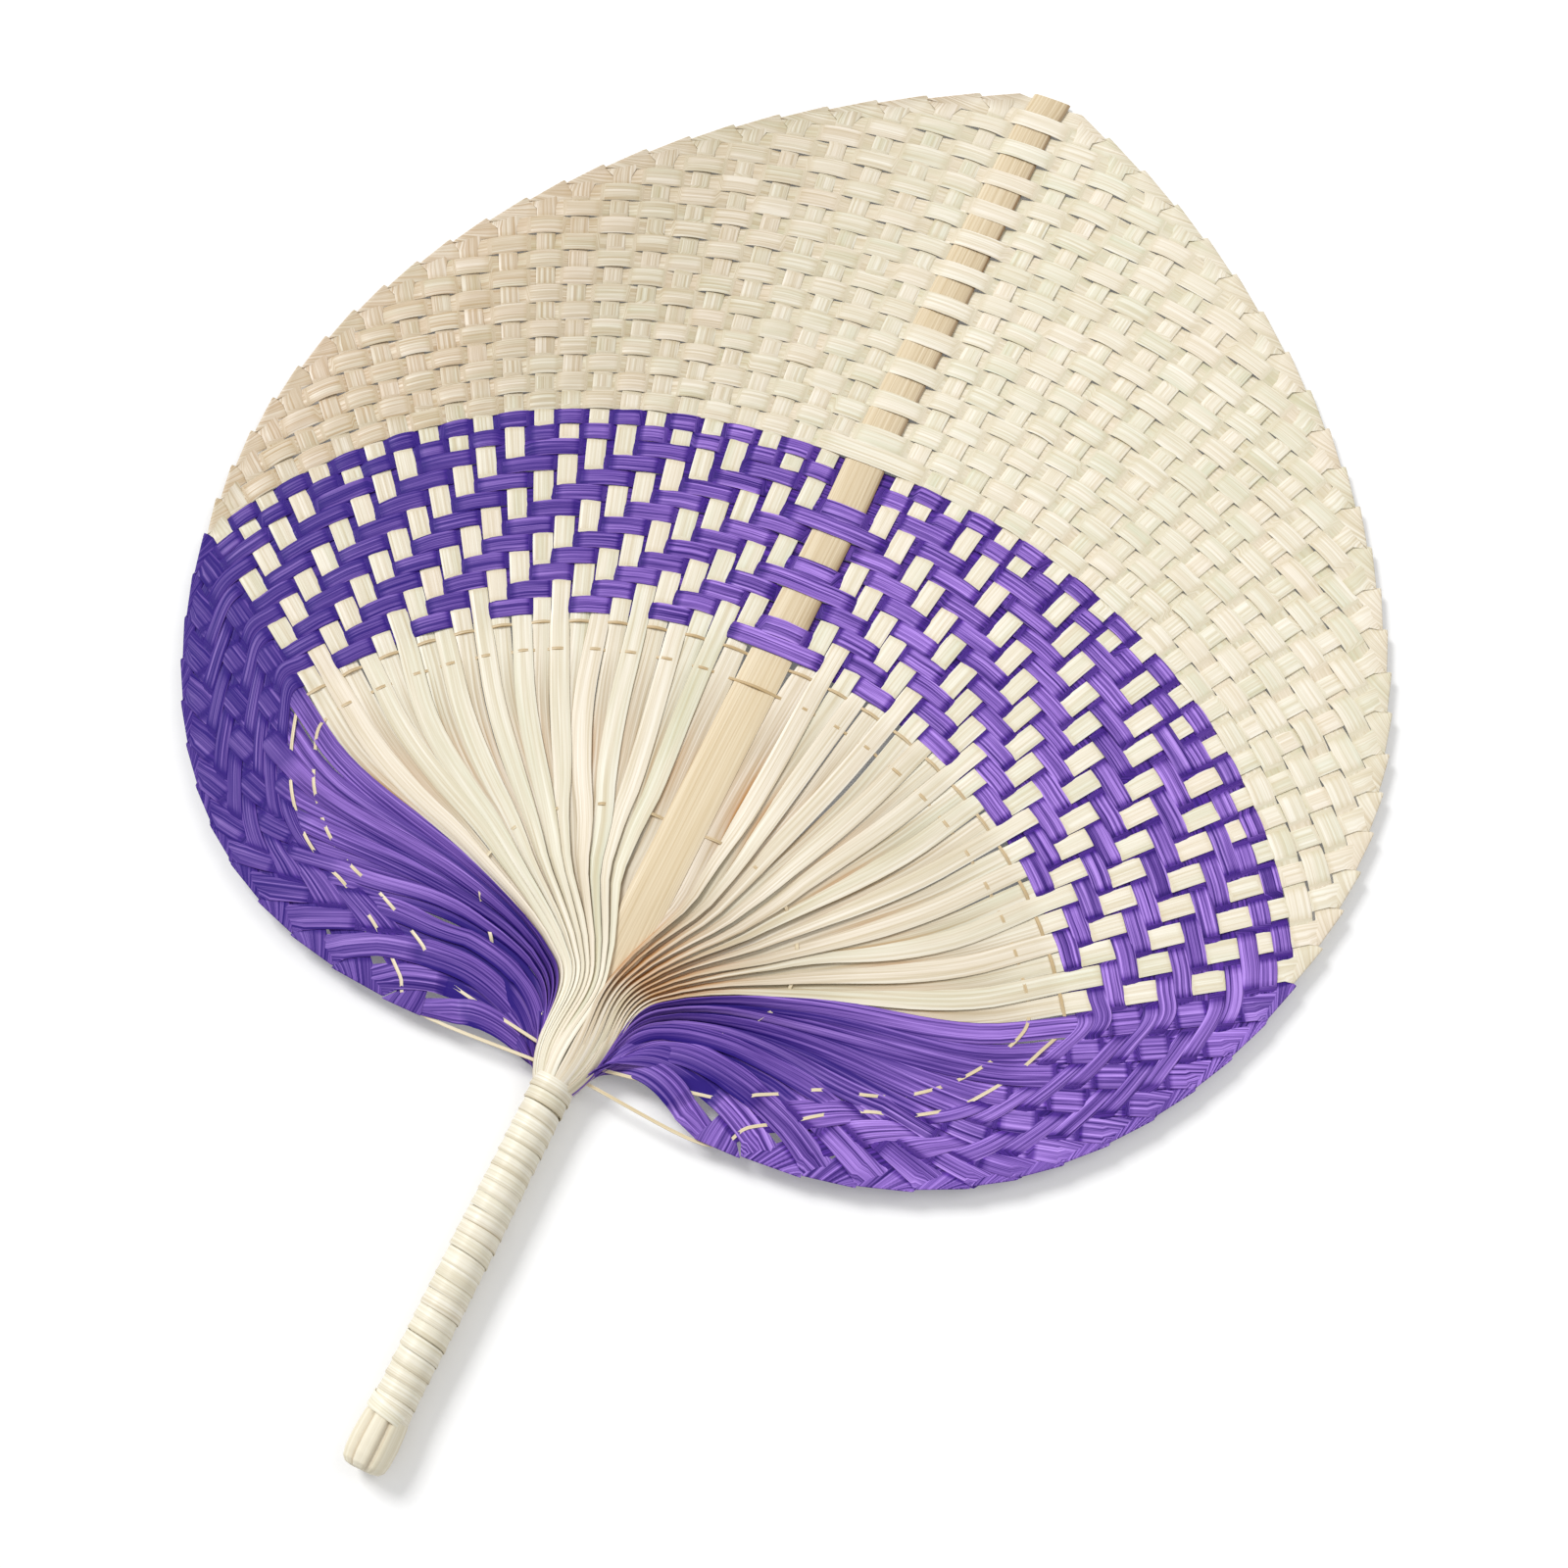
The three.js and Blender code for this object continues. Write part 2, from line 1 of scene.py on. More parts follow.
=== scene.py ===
"""A woven bamboo hand fan: splints folded at the rim, a spine, fine strands and a bound handle.

Shapes are worked out in millimetres with the neck at the origin, the tip along +y and the front along +z.
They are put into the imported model's frame, in metres, as the last step.
"""

import logging
import math
from dataclasses import dataclass, field
from enum import Enum, IntEnum
from typing import Any, Dict, Optional, Sequence, Tuple, Union

import bpy
import numpy as np
from mathutils import Matrix, Vector
from numpy.typing import NDArray


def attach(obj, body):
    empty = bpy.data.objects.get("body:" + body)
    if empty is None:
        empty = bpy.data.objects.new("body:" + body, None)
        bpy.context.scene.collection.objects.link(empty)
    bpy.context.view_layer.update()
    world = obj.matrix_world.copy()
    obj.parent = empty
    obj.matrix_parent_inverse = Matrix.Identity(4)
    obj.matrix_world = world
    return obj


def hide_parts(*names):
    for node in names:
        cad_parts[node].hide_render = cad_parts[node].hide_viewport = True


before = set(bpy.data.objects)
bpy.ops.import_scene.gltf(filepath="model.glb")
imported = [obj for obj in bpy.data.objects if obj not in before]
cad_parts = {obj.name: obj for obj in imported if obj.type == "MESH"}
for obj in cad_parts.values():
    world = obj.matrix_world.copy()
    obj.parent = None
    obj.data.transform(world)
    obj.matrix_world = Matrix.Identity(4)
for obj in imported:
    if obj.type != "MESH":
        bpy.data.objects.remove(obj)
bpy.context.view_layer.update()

Array = NDArray[np.float64]
Faces = NDArray[np.int64]
Number = Union[float, Array]
Colour = Tuple[int, int, int]
Triple = Tuple[float, float, float]
Pair = Tuple[float, float]

log = logging.getLogger("hand_fan")

MILLIMETRE = 0.001
RIGHT = 1.0
LEFT = -1.0
WHITE = (1.0, 1.0, 1.0, 1.0)

# Size, pace and phase of each wave in a wander.
WAVES = ((1.0, 1.0, 1.7), (0.6, 2.3, 4.1), (0.4, 4.1, 2.9))

# How steeply a float's raised tone climbs from its ends, and the level of its middle: it paints a highlight
# on the float's top and shade at its ends.
FLOAT_STEEPNESS = 1.7
FLOAT_TOP = 0.85

# Places across a strip, in half widths, and the share of the thickness there.
ACROSS = np.array([-1.0, -0.88, -0.45, 0.45, 0.88, 1.0])
THINNED = np.array([0.35, 0.9, 1.0, 1.0, 0.9, 0.35])

# The least share of the stains and painted shade that keeps to an edge, and how fast it grows towards that
# edge, where it paints shade along the covered edge.
EDGE_SHADE_LEAST = 0.1
EDGE_SHADE_POWER = 2.5

# Millimetres of fibre to one unit of the fibre map.
FIBRE_UNIT = 100.0

# How far the chance numbers move the fibres, and the scales of fibres and patches, along and across.
CHANCE_SHIFT = (37.0, 91.0, 0.0)
FIBRE_SCALE = (1.6, 100.0)
PATCH_SCALE = (2.2, 26.0, 0.0)

# The fibres' height in metres, the roughness that streaks and patches add, and the coat's own.
FIBRE_RELIEF = 0.00012
STREAK_ROUGHNESS = 0.22
PATCH_ROUGHNESS = 0.1
COAT_ROUGHNESS = 0.3

# What sets the numbers of a row's floats apart from those of the rising part.
ROW_RUNS = 60.0

# The splint at which something of the lowest ones has ended, and the splints over which it eases off.
BOTTOM = (4.5, 2.0)
LOWEST = (6.5, 3.0)
SAGGING = (7.5, 4.5)
UPRIGHT = (8.5, 4.0)


class Slot(Enum):
    """The record's material slots."""

    NATURAL = "natural_bamboo"
    PURPLE = "purple_bamboo"
    SPINE = "spine_bamboo"
    BUNDLE = "bundle_bamboo"
    BINDING = "binding_bamboo"
    STRAND = "strand_bamboo"


class Draw(IntEnum):
    """Seeds that keep chance numbers apart."""

    WIDTH = 2
    TONE = 3
    TAIL = 4
    LEAN = 5
    KNEE = 6
    ROLL = 7
    STRAY = 8
    TURN = 9
    LAYER = 11


def scatter(*seeds: Number) -> Array:
    """Gives fixed numbers from -1 to 1: the fraction of a large sine of the weighted sum of the seeds.

    Args:
        seeds: Numbers or arrays that broadcast together.

    Returns:
        One number for each set of seeds.
    """
    weights = (12.9898, 78.233, 37.719, 4.581)
    mixed = sum(np.asarray(s, float) * w for s, w in zip(seeds, weights))
    part = np.sin(mixed + 1.7) * 4375.85
    return 2.0 * (part - np.floor(part)) - 1.0


def wander(at: Number, seed: float) -> Array:
    """Gives a smooth wander between -1 and 1: three sines of unlike lengths with phases from the seed.

    Args:
        at: Places along the wander.
        seed: A number that sets the phases.

    Returns:
        The wander at each place.
    """
    return sum(size * np.sin(pace * at + phase * seed) for size, pace, phase in WAVES) / 2.0


def unit(vectors: Array) -> Array:
    """Scales each row to length 1."""
    return vectors / np.maximum(np.linalg.norm(vectors, axis=-1, keepdims=True), 1e-9)


def between(low: Number, high: Number, share: Number) -> Array:
    """Goes straight from low to high as share goes from 0 to 1."""
    return low + (np.asarray(high) - low) * share


def clamped(value: Number) -> Array:
    """Holds a number to 0..1."""
    return np.minimum(np.maximum(value, 0.0), 1.0)


def eased(value: Number) -> Array:
    """Holds a number to 0..1 and eases both ends with 3 s^2 - 2 s^3."""
    s = clamped(value)
    return s * s * (3.0 - 2.0 * s)


def lowness(k: int, reach: Pair) -> float:
    """Gives 1 for the lowest splints, easing to 0 at the splint where the reach ends."""
    return float(eased((reach[0] - k) / reach[1]))


def flat_topped(place: Array) -> Array:
    """How raised a float's tone is at a place in it, which paints its highlight and shade: a rise at each
    end and a level middle.
    """
    return np.minimum(FLOAT_STEEPNESS * np.sin(np.pi * place), FLOAT_TOP)


def tones(count: int, own: Number, run: Number, stain_and_shade: Number, raised: Number) -> Array:
    """Gathers the four tones of a strip's sections.

    Args:
        count: How many sections there are.
        own: The strip's chance number, from 0 to 1.
        run: The float's chance number, from 0 to 1.
        stain_and_shade: How dark each section is by stains and painted shade, from 0 to 1.
        raised: How far each section stands up, from 0 to 1, which sets its painted highlight and painted
            shade.

    Returns:
        Four tones to a row.
    """
    return np.column_stack([np.broadcast_to(value, count) for value in (own, run, stain_and_shade, raised)])


def spline(points: Array, steps: int) -> Array:
    """Carries a smooth curve through points: cubic pieces whose slopes are half the chord of the neighbours.

    Args:
        points: The points, one to a row.
        steps: Samples in each piece.

    Returns:
        The samples, ending on the last point.
    """
    slopes = np.gradient(points, axis=0)
    at = np.linspace(0.0, len(points) - 1.0, steps * (len(points) - 1) + 1)
    return hermite(points, slopes, at)


def hermite(points: Array, slopes: Array, at: Array) -> Array:
    """Samples cubic pieces from points and slopes at the places given in counts of points.

    Args:
        points: The points, one to a row.
        slopes: The slope at each point.
        at: Places, where 0 is the first point.

    Returns:
        One row for each place.
    """
    i = np.clip(np.floor(at).astype(int), 0, len(points) - 2)
    s = (at - i)[:, None]
    start = (1 + 2 * s) * (1 - s) ** 2 * points[i] + s * (1 - s) ** 2 * slopes[i]
    return start + s * s * (3 - 2 * s) * points[i + 1] + s * s * (s - 1) * slopes[i + 1]


@dataclass
class Surface:
    """A closed mesh with a fibre map and tones.

    Attributes:
        points: Places in millimetres.
        faces: Four corners to a face.
        fibre: Length along and place across the fibres, in millimetres.
        tone: The strip's chance number, the float's, its stains and painted shade, and how far the fibre is
            raised, which sets a painted highlight and shade.
    """

    points: Array
    faces: Faces
    fibre: Array
    tone: Array


def outward(points: Array, faces: Faces) -> Faces:
    """Turns all faces round where the volume, the sum of corner triple products over six, is negative.

    Args:
        points: The corners' places.
        faces: Four corners to a face.

    Returns:
        Faces that point outwards.
    """
    p, q, r, s = (points[faces[:, i]] for i in range(4))
    volume = np.sum(p * np.cross(q, r)) + np.sum(p * np.cross(r, s))
    return faces if volume > 0 else faces[:, ::-1]


def tube_faces(rings: int, corners: int) -> Faces:
    """Numbers the four-cornered faces between rings and over both ends.

    Args:
        rings: How many rings follow one another.
        corners: An even count of points in each ring.

    Returns:
        Four corners to a face.
    """
    index = np.arange(rings * corners).reshape(rings, corners)
    turned = np.roll(index, -1, axis=1)
    walls = np.stack([index[:-1], turned[:-1], turned[1:], index[1:]], axis=-1).reshape(-1, 4)
    near = np.arange(corners // 2 - 1)
    far = corners - 1 - near
    first = index[0][np.stack([near, far, far - 1, near + 1], axis=-1)]
    last = index[-1][np.stack([near, near + 1, far - 1, far], axis=-1)]
    return np.vstack([walls, first, last])


@dataclass
class Edges:
    """The two edges of a strip, with values for each section.

    Attributes:
        a: The first edge's points.
        b: The second edge's points.
        crown: How far the middle stands up.
        tone: Four tones.
        gather: How far the stains and painted shade keep to the second edge, from 0 to 1, or to the first
            edge, from 0 to -1; this paints shade along the edge that a neighbour covers.
    """

    a: Array
    b: Array
    crown: Array
    tone: Array
    gather: Array

    @staticmethod
    def even(a: Array, b: Array, crown: float, tone: Array, gather: Number = 0.0) -> "Edges":
        """A strip with one crown from end to end.

        Args:
            a: The first edge's points.
            b: The second edge's points.
            crown: How far the middle stands up.
            tone: Four tones for each section.
            gather: Which edge the stains and painted shade keep to, for all or for each section.

        Returns:
            The strip's edges.
        """
        return Edges(a, b, np.full(len(a), crown), tone, np.broadcast_to(gather, len(a)))

    @staticmethod
    def chain(parts: Sequence["Edges"]) -> "Edges":
        """Sets strips end to end."""
        names = ("a", "b", "crown", "tone", "gather")
        return Edges(*(np.concatenate([getattr(p, n) for p in parts]) for n in names))

    def turned(self) -> "Edges":
        """The same strip from its other end, without the first section of the turned strip."""
        back = slice(-2, None, -1)
        return Edges(self.a[back], self.b[back], self.crown[back], self.tone[back], self.gather[back])

    def ribbon(self, thickness: float) -> Surface:
        """Carries a thin strip along the two edges.

        A point is the middle of the two edges, plus v half widths, plus crown (1 - v^2) along the normal,
        plus or minus half the thickness, which thins towards v = -1 and 1. The normal is the path's
        direction crossed with the width.

        Args:
            thickness: The strip's thickness.

        Returns:
            The closed strip.
        """
        v = ACROSS
        middle = (self.a + self.b) / 2
        half = (self.b - self.a) / 2
        normal = unit(np.cross(np.gradient(middle, axis=0), half))[:, None, :]
        rise = self.crown[:, None] * (1 - v * v)[None, :]
        sheet = middle[:, None, :] + v[None, :, None] * half[:, None, :] + rise[..., None] * normal
        skin = (thickness / 2) * THINNED[None, :, None] * normal
        ring = np.concatenate([sheet + skin, (sheet - skin)[:, ::-1]], axis=1)
        count, corners = ring.shape[:2]
        points = ring.reshape(-1, 3)
        length = np.concatenate([[0.0], np.cumsum(np.linalg.norm(np.diff(middle, axis=0), axis=1))])
        place = np.concatenate([v, v[::-1]])
        sideways = np.linalg.norm(half, axis=1)[:, None] * place[None, :]
        fibre = np.stack(np.broadcast_arrays(length[:, None], sideways), axis=-1).reshape(-1, 2)
        shades = np.repeat(self.tone, corners, axis=0)
        # The tone of stains and painted shade gathers towards one edge: painted shade along the edge that a
        # neighbour covers.
        strength = self.gather[:, None]
        nearness = (np.sign(strength) * place[None, :] + 1) / 2
        kept = EDGE_SHADE_LEAST + (1 - EDGE_SHADE_LEAST) * nearness**EDGE_SHADE_POWER
        shades[:, 2] *= (1 - np.abs(strength) * (1 - kept)).ravel()
        return Surface(points, outward(points, tube_faces(count, corners)), fibre, shades)


@dataclass(frozen=True)
class LeafPlan:
    """The sizes of the leaf, in millimetres and degrees."""

    leaf_length: float = 305.0
    handle_length: float = 95.0
    half_length: float = 200.0
    purple_count: int = 13
    natural_count: int = 23
    purple_width: float = 4.3
    natural_width: float = 5.0
    lobe_angle: float = 98.5
    purple_step: float = 3.1

    # The rim's fall for each degree from the tip, and its further falls past the shoulder and the lobe.
    rim_fall: float = 0.00754
    shoulder_fall: float = 0.00223
    shoulder_angle: float = 46.0
    shoulder_softness: float = 4.0
    lobe_fall: float = 0.00393
    lobe_bend: float = 85.0
    lobe_softness: float = 3.0

    # Where the splints leave the neck, and how they spread.
    neck_reach: float = 24.5
    lobe_neck_reach: float = 18.0
    spread_radius: float = 95.0
    neck_squeeze: float = 0.51

    # The purple band, how it closes in at the sides and in the lobes, and the least weave before a fold.
    band_outer: float = 172.5
    band_fall: float = 0.067
    band_inner: float = 113.0
    band_closing: float = 0.03
    lobe_inner: float = 110.0
    lobe_closing: float = 0.77
    least_weave: float = 4.0

    # The spine, and how far below its tip the last row and the last fold lie.
    spine_half_width: float = 5.4
    spine_foot_half: float = 1.6
    spine_foot: float = 25.2
    spine_taper: float = 20.0
    spine_side_gap: float = 1.6
    row_below_tip: float = 1.25
    fold_below_tip: float = 1.0

    # Heights of the leaf's middle above the floor.
    neck_height: float = 5.15
    tip_height: float = 0.91

    @property
    def count(self) -> int:
        """All the splints."""
        return self.purple_count + self.natural_count

    @property
    def natural_angle(self) -> float:
        """The angle where the purple splints end and the natural ones begin."""
        return self.lobe_angle - self.purple_count * self.purple_step

    def spine_half(self, r: Number) -> Array:
        """Half the spine's width at a distance from the neck."""
        share = clamped((r - self.spine_foot) / self.spine_taper)
        return between(self.spine_foot_half, self.spine_half_width, share)

    def seated(self, points: Array) -> Array:
        """Puts neck-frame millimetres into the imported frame: the leaf slopes from handle to tip.

        Args:
            points: Places in millimetres, with z from the leaf's own middle.

        Returns:
            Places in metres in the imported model's frame.
        """
        y = points[:, 1]
        drop = between(self.neck_height, self.tip_height, clamped(y / self.leaf_length))
        shift = self.leaf_length - self.half_length
        return np.stack([points[:, 0], y - shift, points[:, 2] + drop], axis=-1) * MILLIMETRE


@dataclass(frozen=True)
class Lie:
    """How the splints of one colour lie, with their stains and painted shade. A pair is for the left and the
    right side of the leaf.

    Attributes:
        full: A free splint's greatest width, as a share of its own width.
        full_chance: How much that differs from splint to splint.
        slit: How far free neighbours part half way along.
        slit_chance: How much that differs from splint to splint.
        broad: The greatest woven width, as a share of the splint's own width.
        woven_fill: The share of the splints' pitch that the weave fills.
        knee: How far a free splint bends aside on its way, in millimetres.
        lean: How far one edge stands above the other where splints are crowded, in millimetres.
        rim_step: How far the fold's line turns out of the rim's, in millimetres.
        row_steps: Sections for each crossing of a row.
        rim_painted_shade: The painted shade on the fold.
        even_stain_and_shade: The stains and painted shade at the neck on the even splints, which lie behind.
        odd_stain_and_shade: The stains and painted crease shade at the neck on the odd splints.
        stain_shade_length: How far the neck's stains and painted shade reach, in millimetres.
        hidden_shadow: The painted shadow half way along the free part of the even splints, where they lie
            hidden.
        aged: The least stain of a free splint.
        band_shade: The share of the left side's painted shade that a splint takes inside the band.
        gather: Which edge the stains and painted shade of the odd splints keep to, and how far: painted
            shade along the covered edge.
    """

    full: float
    full_chance: float
    slit: float
    slit_chance: float
    broad: float
    woven_fill: float
    knee: float
    lean: Pair
    rim_step: float
    row_steps: int
    rim_painted_shade: Pair
    even_stain_and_shade: float
    odd_stain_and_shade: Pair
    stain_shade_length: float
    hidden_shadow: float
    aged: float
    band_shade: float
    gather: Pair


PURPLE_LIE = Lie(
    full=1.1,
    full_chance=0.0,
    slit=0.1,
    slit_chance=0.0,
    broad=1.42,
    woven_fill=1.04,
    knee=0.0,
    lean=(0.8, 0.8),
    rim_step=0.25,
    row_steps=6,
    rim_painted_shade=(0.0, 0.0),
    even_stain_and_shade=1.0,
    odd_stain_and_shade=(1.0, 1.0),
    stain_shade_length=85.0,
    hidden_shadow=0.3,
    aged=0.0,
    band_shade=1.0,
    gather=(0.8, 0.8),
)
NATURAL_LIE = Lie(
    full=0.96,
    full_chance=0.05,
    slit=0.25,
    slit_chance=0.12,
    broad=1.0,
    woven_fill=0.97,
    knee=0.7,
    lean=(0.35, -0.65),
    rim_step=0.6,
    row_steps=9,
    rim_painted_shade=(0.68, 0.35),
    even_stain_and_shade=0.95,
    odd_stain_and_shade=(0.3, 1.0),
    stain_shade_length=60.0,
    hidden_shadow=0.85,
    aged=0.22,
    band_shade=0.3,
    gather=(1.0, -0.2),
)


@dataclass(frozen=True)
class HalfLeaf:
    """One side of the leaf: where each splint rises, folds and crosses, in millimetres and degrees.

    Splints are numbered k from 1, the lowest in the lobe, to the last beside the spine, and the spine is the
    next number. Odd splints lie in front where they are free, and even ones fill in behind.
    """

    plan: LeafPlan
    hand: float

    # How uneven the angles at the rim are, and the step to either side that gives a splint's direction.
    unevenness: float = 0.2
    nudge: float = 0.2

    # Heights and crowns of the weave, and how blunt a float's rise is.
    row_lift: float = 0.35
    lobe_lift: float = 0.26
    lift_chance: float = 0.24
    spine_lift: float = 0.86
    warp_lift: float = 0.15
    row_crown: float = 0.16
    warp_crown: float = 0.12
    bluntness: float = 0.6

    # How raised the free, the covered and the folded parts are, as tones that set painted highlight and
    # painted shade.
    raised_free: float = 0.75
    raised_under: float = 0.3
    raised_fold: float = 0.7

    # Widths of the rows, as shares of the splint's own width and of the rows' pitch.
    lowest_spread: float = 1.7
    lobe_spread: float = 1.5
    field_spread: float = 1.12
    lowest_fill: float = 1.35
    row_fill: float = 1.1

    # The first splints past the lowest spread and the lowest fill, and where the rows' lift grows.
    spread_until: int = 5
    fill_until: int = 7
    lift_from: float = 11.0
    lift_over: float = 4.0

    # Where a row starts, in crossings from its fold, and how far it widens, wanders and rolls.
    row_start: float = 0.62
    float_start: float = -0.6
    least_slant: float = 0.5
    widening: float = 0.035
    straying: float = 0.14
    rolling: float = 0.1
    calm_spans: float = 1.5

    # The painted shade of the left side: its depth, where it starts right of the spine and how far it grows.
    shade_depth: float = 0.72
    shade_start: float = 20.0
    shade_length: float = 145.0

    # How far the splints are drawn in behind the spine's edge at the neck.
    neck_draw: float = 2.6
    draw_reach: float = 48.0
    draw_length: float = 24.0

    # The free splints: how they cover each other, the lowest ones' widths, their slits, and the lengths over
    # which widths change.
    odd_cover: float = 1.9
    even_cover: float = 1.5
    cover_chance: float = 0.1
    least_width: float = 1.9
    lowest_width: float = 6.4
    lowest_woven: float = 6.0
    lowest_full: float = 0.5
    slit_start: float = 56.0
    slit_inset: float = 52.0
    least_slit: float = 8.0
    opening: float = 10.0
    joining: float = 8.0

    # How far free splints lean, lie in layers and sway, and where this starts and ends.
    odd_lean: float = 0.9
    even_lean: float = 0.3
    lean_chance: float = 0.5
    lean_stop: float = 4.0
    lean_length: float = 50.0
    lobe_upright: float = 0.75
    weave_lean: float = 0.05
    steepest: float = 0.85
    layer_reach: float = 58.0
    layer_lift: float = 0.2
    layer_more: float = 0.35
    spine_layer: float = 0.3
    spine_layer_from: float = 26.0
    spine_layer_over: float = 10.0
    layer_chance: float = 0.14
    sway_start: float = 34.0
    sway_inset: float = 36.0
    sway_growth: float = 20.0
    shared_sway: float = 0.9
    wave_sway: float = 0.6
    last_sway: float = 1.2
    odd_stray: Pair = (0.4, 0.85)
    even_stray: float = 0.2
    knee_radius: float = 62.0
    knee_length: float = 5.0
    left_sag: float = 4.2
    tuck: float = 1.8

    # Where an even splint is hidden and painted in shadow, and how far its stains and painted shade keep to
    # one edge.
    hidden_start: float = 42.0
    hidden_inset: float = 48.0
    even_gather: float = 0.2

    # Sections of the rising part, and how far out the two lowest ones start.
    free_sections: int = 20
    crossing_sections: int = 4
    bottom_skip: float = 0.75
    bottom_stop: float = 1.5

    # The runs from the free part into the weave, past the band, and from the weave into the fold.
    band_run_in: float = 6.0
    band_run_out: float = 16.0
    weave_run_in: float = 2.0
    width_run_in: float = 6.0
    fold_length: float = 6.0
    fold_run_out: float = 3.0
    fold_sections: int = 7

    # Shares of the way to the fold above, to the fold below, and past the lowest fold.
    fold_above: float = 0.54
    fold_below: float = 0.46
    fold_lowest: float = 0.12

    # The tails: degrees round the handle and slopes for the lowest, the first natural and the last splint,
    # and how much further round the lowest even and odd ones of the left side lie.
    tail_turns: Triple = (112.0, 80.0, 4.0)
    tail_slopes: Triple = (0.35, 0.6, 0.85)
    lobe_turns: Pair = (-40.0, 28.0)
    tail_depth: float = 7.0
    tail_ring: float = 4.15
    ring_chance: float = 0.3
    tail_half: float = 1.05
    tail_sections: int = 18
    # The share of the neck's stains and painted crease shade left at a tail's foot.
    tail_stain_and_shade: float = 0.2
    lead: float = 0.36
    lead_loss: float = 0.04
    climb: float = 0.46
    climb_gain: float = 0.2
    lobe_opening: float = 0.8

    def lie(self, k: int) -> Lie:
        """How splint k lies."""
        return PURPLE_LIE if k <= self.plan.purple_count else NATURAL_LIE

    def mine(self, pair: Pair) -> float:
        """Picks this side's value of a pair."""
        return pair[0] if self.hand < 0 else pair[1]

    def chance(self, k: int, draw: Draw) -> float:
        """A fixed number from -1 to 1 for splint k on this side."""
        return float(scatter(float(k), self.hand, draw))

    def purple(self, k: Number) -> NDArray[np.bool_]:
        """True for the purple splints."""
        return np.asarray(k) <= self.plan.purple_count

    def rim_angle(self, k: Number) -> Array:
        """The angle from the spine at which a splint meets the rim, a little uneven between splints."""
        p = self.plan
        low = p.lobe_angle - (np.asarray(k, float) - 0.5) * p.purple_step
        high = p.natural_angle * (1 - (np.asarray(k, float) - p.purple_count - 0.5) / p.natural_count)
        even = np.where(self.purple(k), low, high)
        return np.where(np.asarray(k) > p.count, 0.0, even + self.unevenness * scatter(k, self.hand))

    def rim_radius(self, angle: Array) -> Array:
        """The rim's distance: a straight fall with the angle, and soft bends at shoulder and lobe."""
        p = self.plan
        shoulder = p.shoulder_softness * np.logaddexp(0.0, (angle - p.shoulder_angle) / p.shoulder_softness)
        lobe = p.lobe_softness * np.logaddexp(0.0, (angle - p.lobe_bend) / p.lobe_softness)
        return p.leaf_length * (1 - p.rim_fall * angle - p.shoulder_fall * shoulder - p.lobe_fall * lobe)

    def width(self, k: Number) -> Array:
        """A splint's full width."""
        return np.where(self.purple(k), self.plan.purple_width, self.plan.natural_width)

    def fold_radius(self, k: Number) -> Array:
        """The distance at which a splint folds over."""
        return self.rim_radius(self.rim_angle(k)) - self.width(k) / 4

    def neck_radius(self, k: Number) -> Array:
        """The distance at which a splint leaves the neck."""
        p = self.plan
        low = between(p.lobe_neck_reach, p.neck_reach, (np.asarray(k, float) - 0.5) / p.purple_count)
        return np.where(self.purple(k), low, p.neck_reach)

    def spread(self, k: Number, r: Number) -> Array:
        """The share of its rim angle that a splint has reached: it fans out as a square near the neck."""
        start = self.neck_radius(k)
        u = clamped((r - start) / (self.plan.spread_radius - start))
        return 1 - self.plan.neck_squeeze * (1 - u) ** 2

    def centre(self, k: Number, r: Number) -> Array:
        """The middle of splint k at distance r, out from the spine's edge at the splint's angle there.

        Args:
            k: Splint numbers.
            r: Distances from the neck.

        Returns:
            Places in the leaf's plane.
        """
        angle = np.radians(self.rim_angle(k) * self.spread(k, r) / self.spread(k, self.fold_radius(k)))
        drawn = self.neck_draw * eased((self.draw_reach - r) / self.draw_length)
        drawn = drawn * (np.asarray(k, float) / self.plan.count) ** 2
        x = self.plan.spine_half(r) + self.plan.spine_side_gap - drawn + r * np.sin(angle)
        return np.stack(np.broadcast_arrays(x, r * np.cos(angle)), axis=-1)

    def along(self, k: Number, r: Number) -> Array:
        """The direction of splint k at distance r, away from the neck."""
        return unit(self.centre(k, r + self.nudge) - self.centre(k, r - self.nudge))

    def pitch(self, k: Number, r: Array) -> Array:
        """The least distance to a neighbour, square to the splint.

        Args:
            k: Splint numbers.
            r: Distances from the neck.

        Returns:
            The distances to the nearer neighbour.
        """
        here = self.centre(k, r)
        way = self.along(k, r)
        gaps = []
        for step in (-1, 1):
            beside = np.clip(np.asarray(k) + step, 1, self.plan.count)
            gap = self.centre(beside, r) - here
            square = np.abs(gap[..., 0] * way[..., 1] - gap[..., 1] * way[..., 0])
            gaps.append(np.where(beside == k, np.inf, square))
        return np.minimum(*gaps)

    def band_inner_at(self, angle: Array) -> Array:
        """Where the weave starts, a little nearer to the neck at the sides."""
        return self.plan.band_inner * (1 - self.plan.band_closing * angle / self.plan.natural_angle)

    def band_outer_at(self, angle: Array) -> Array:
        """Where the purple band ends, falling with the cube of the angle."""
        return self.plan.band_outer * (1 - self.plan.band_fall * (angle / self.plan.natural_angle) ** 3)

    def inner_radius(self, k: Number) -> Array:
        """Where the weave starts on splint k."""
        p = self.plan
        k = np.asarray(k, float)
        lobe = p.lobe_inner * (1 - p.lobe_closing * (p.purple_count - k) / (p.purple_count - 1))
        lobe = np.minimum(lobe, self.fold_radius(np.minimum(k, p.purple_count)) - p.least_weave)
        return np.where(self.purple(k), lobe, self.band_inner_at(self.rim_angle(k)))

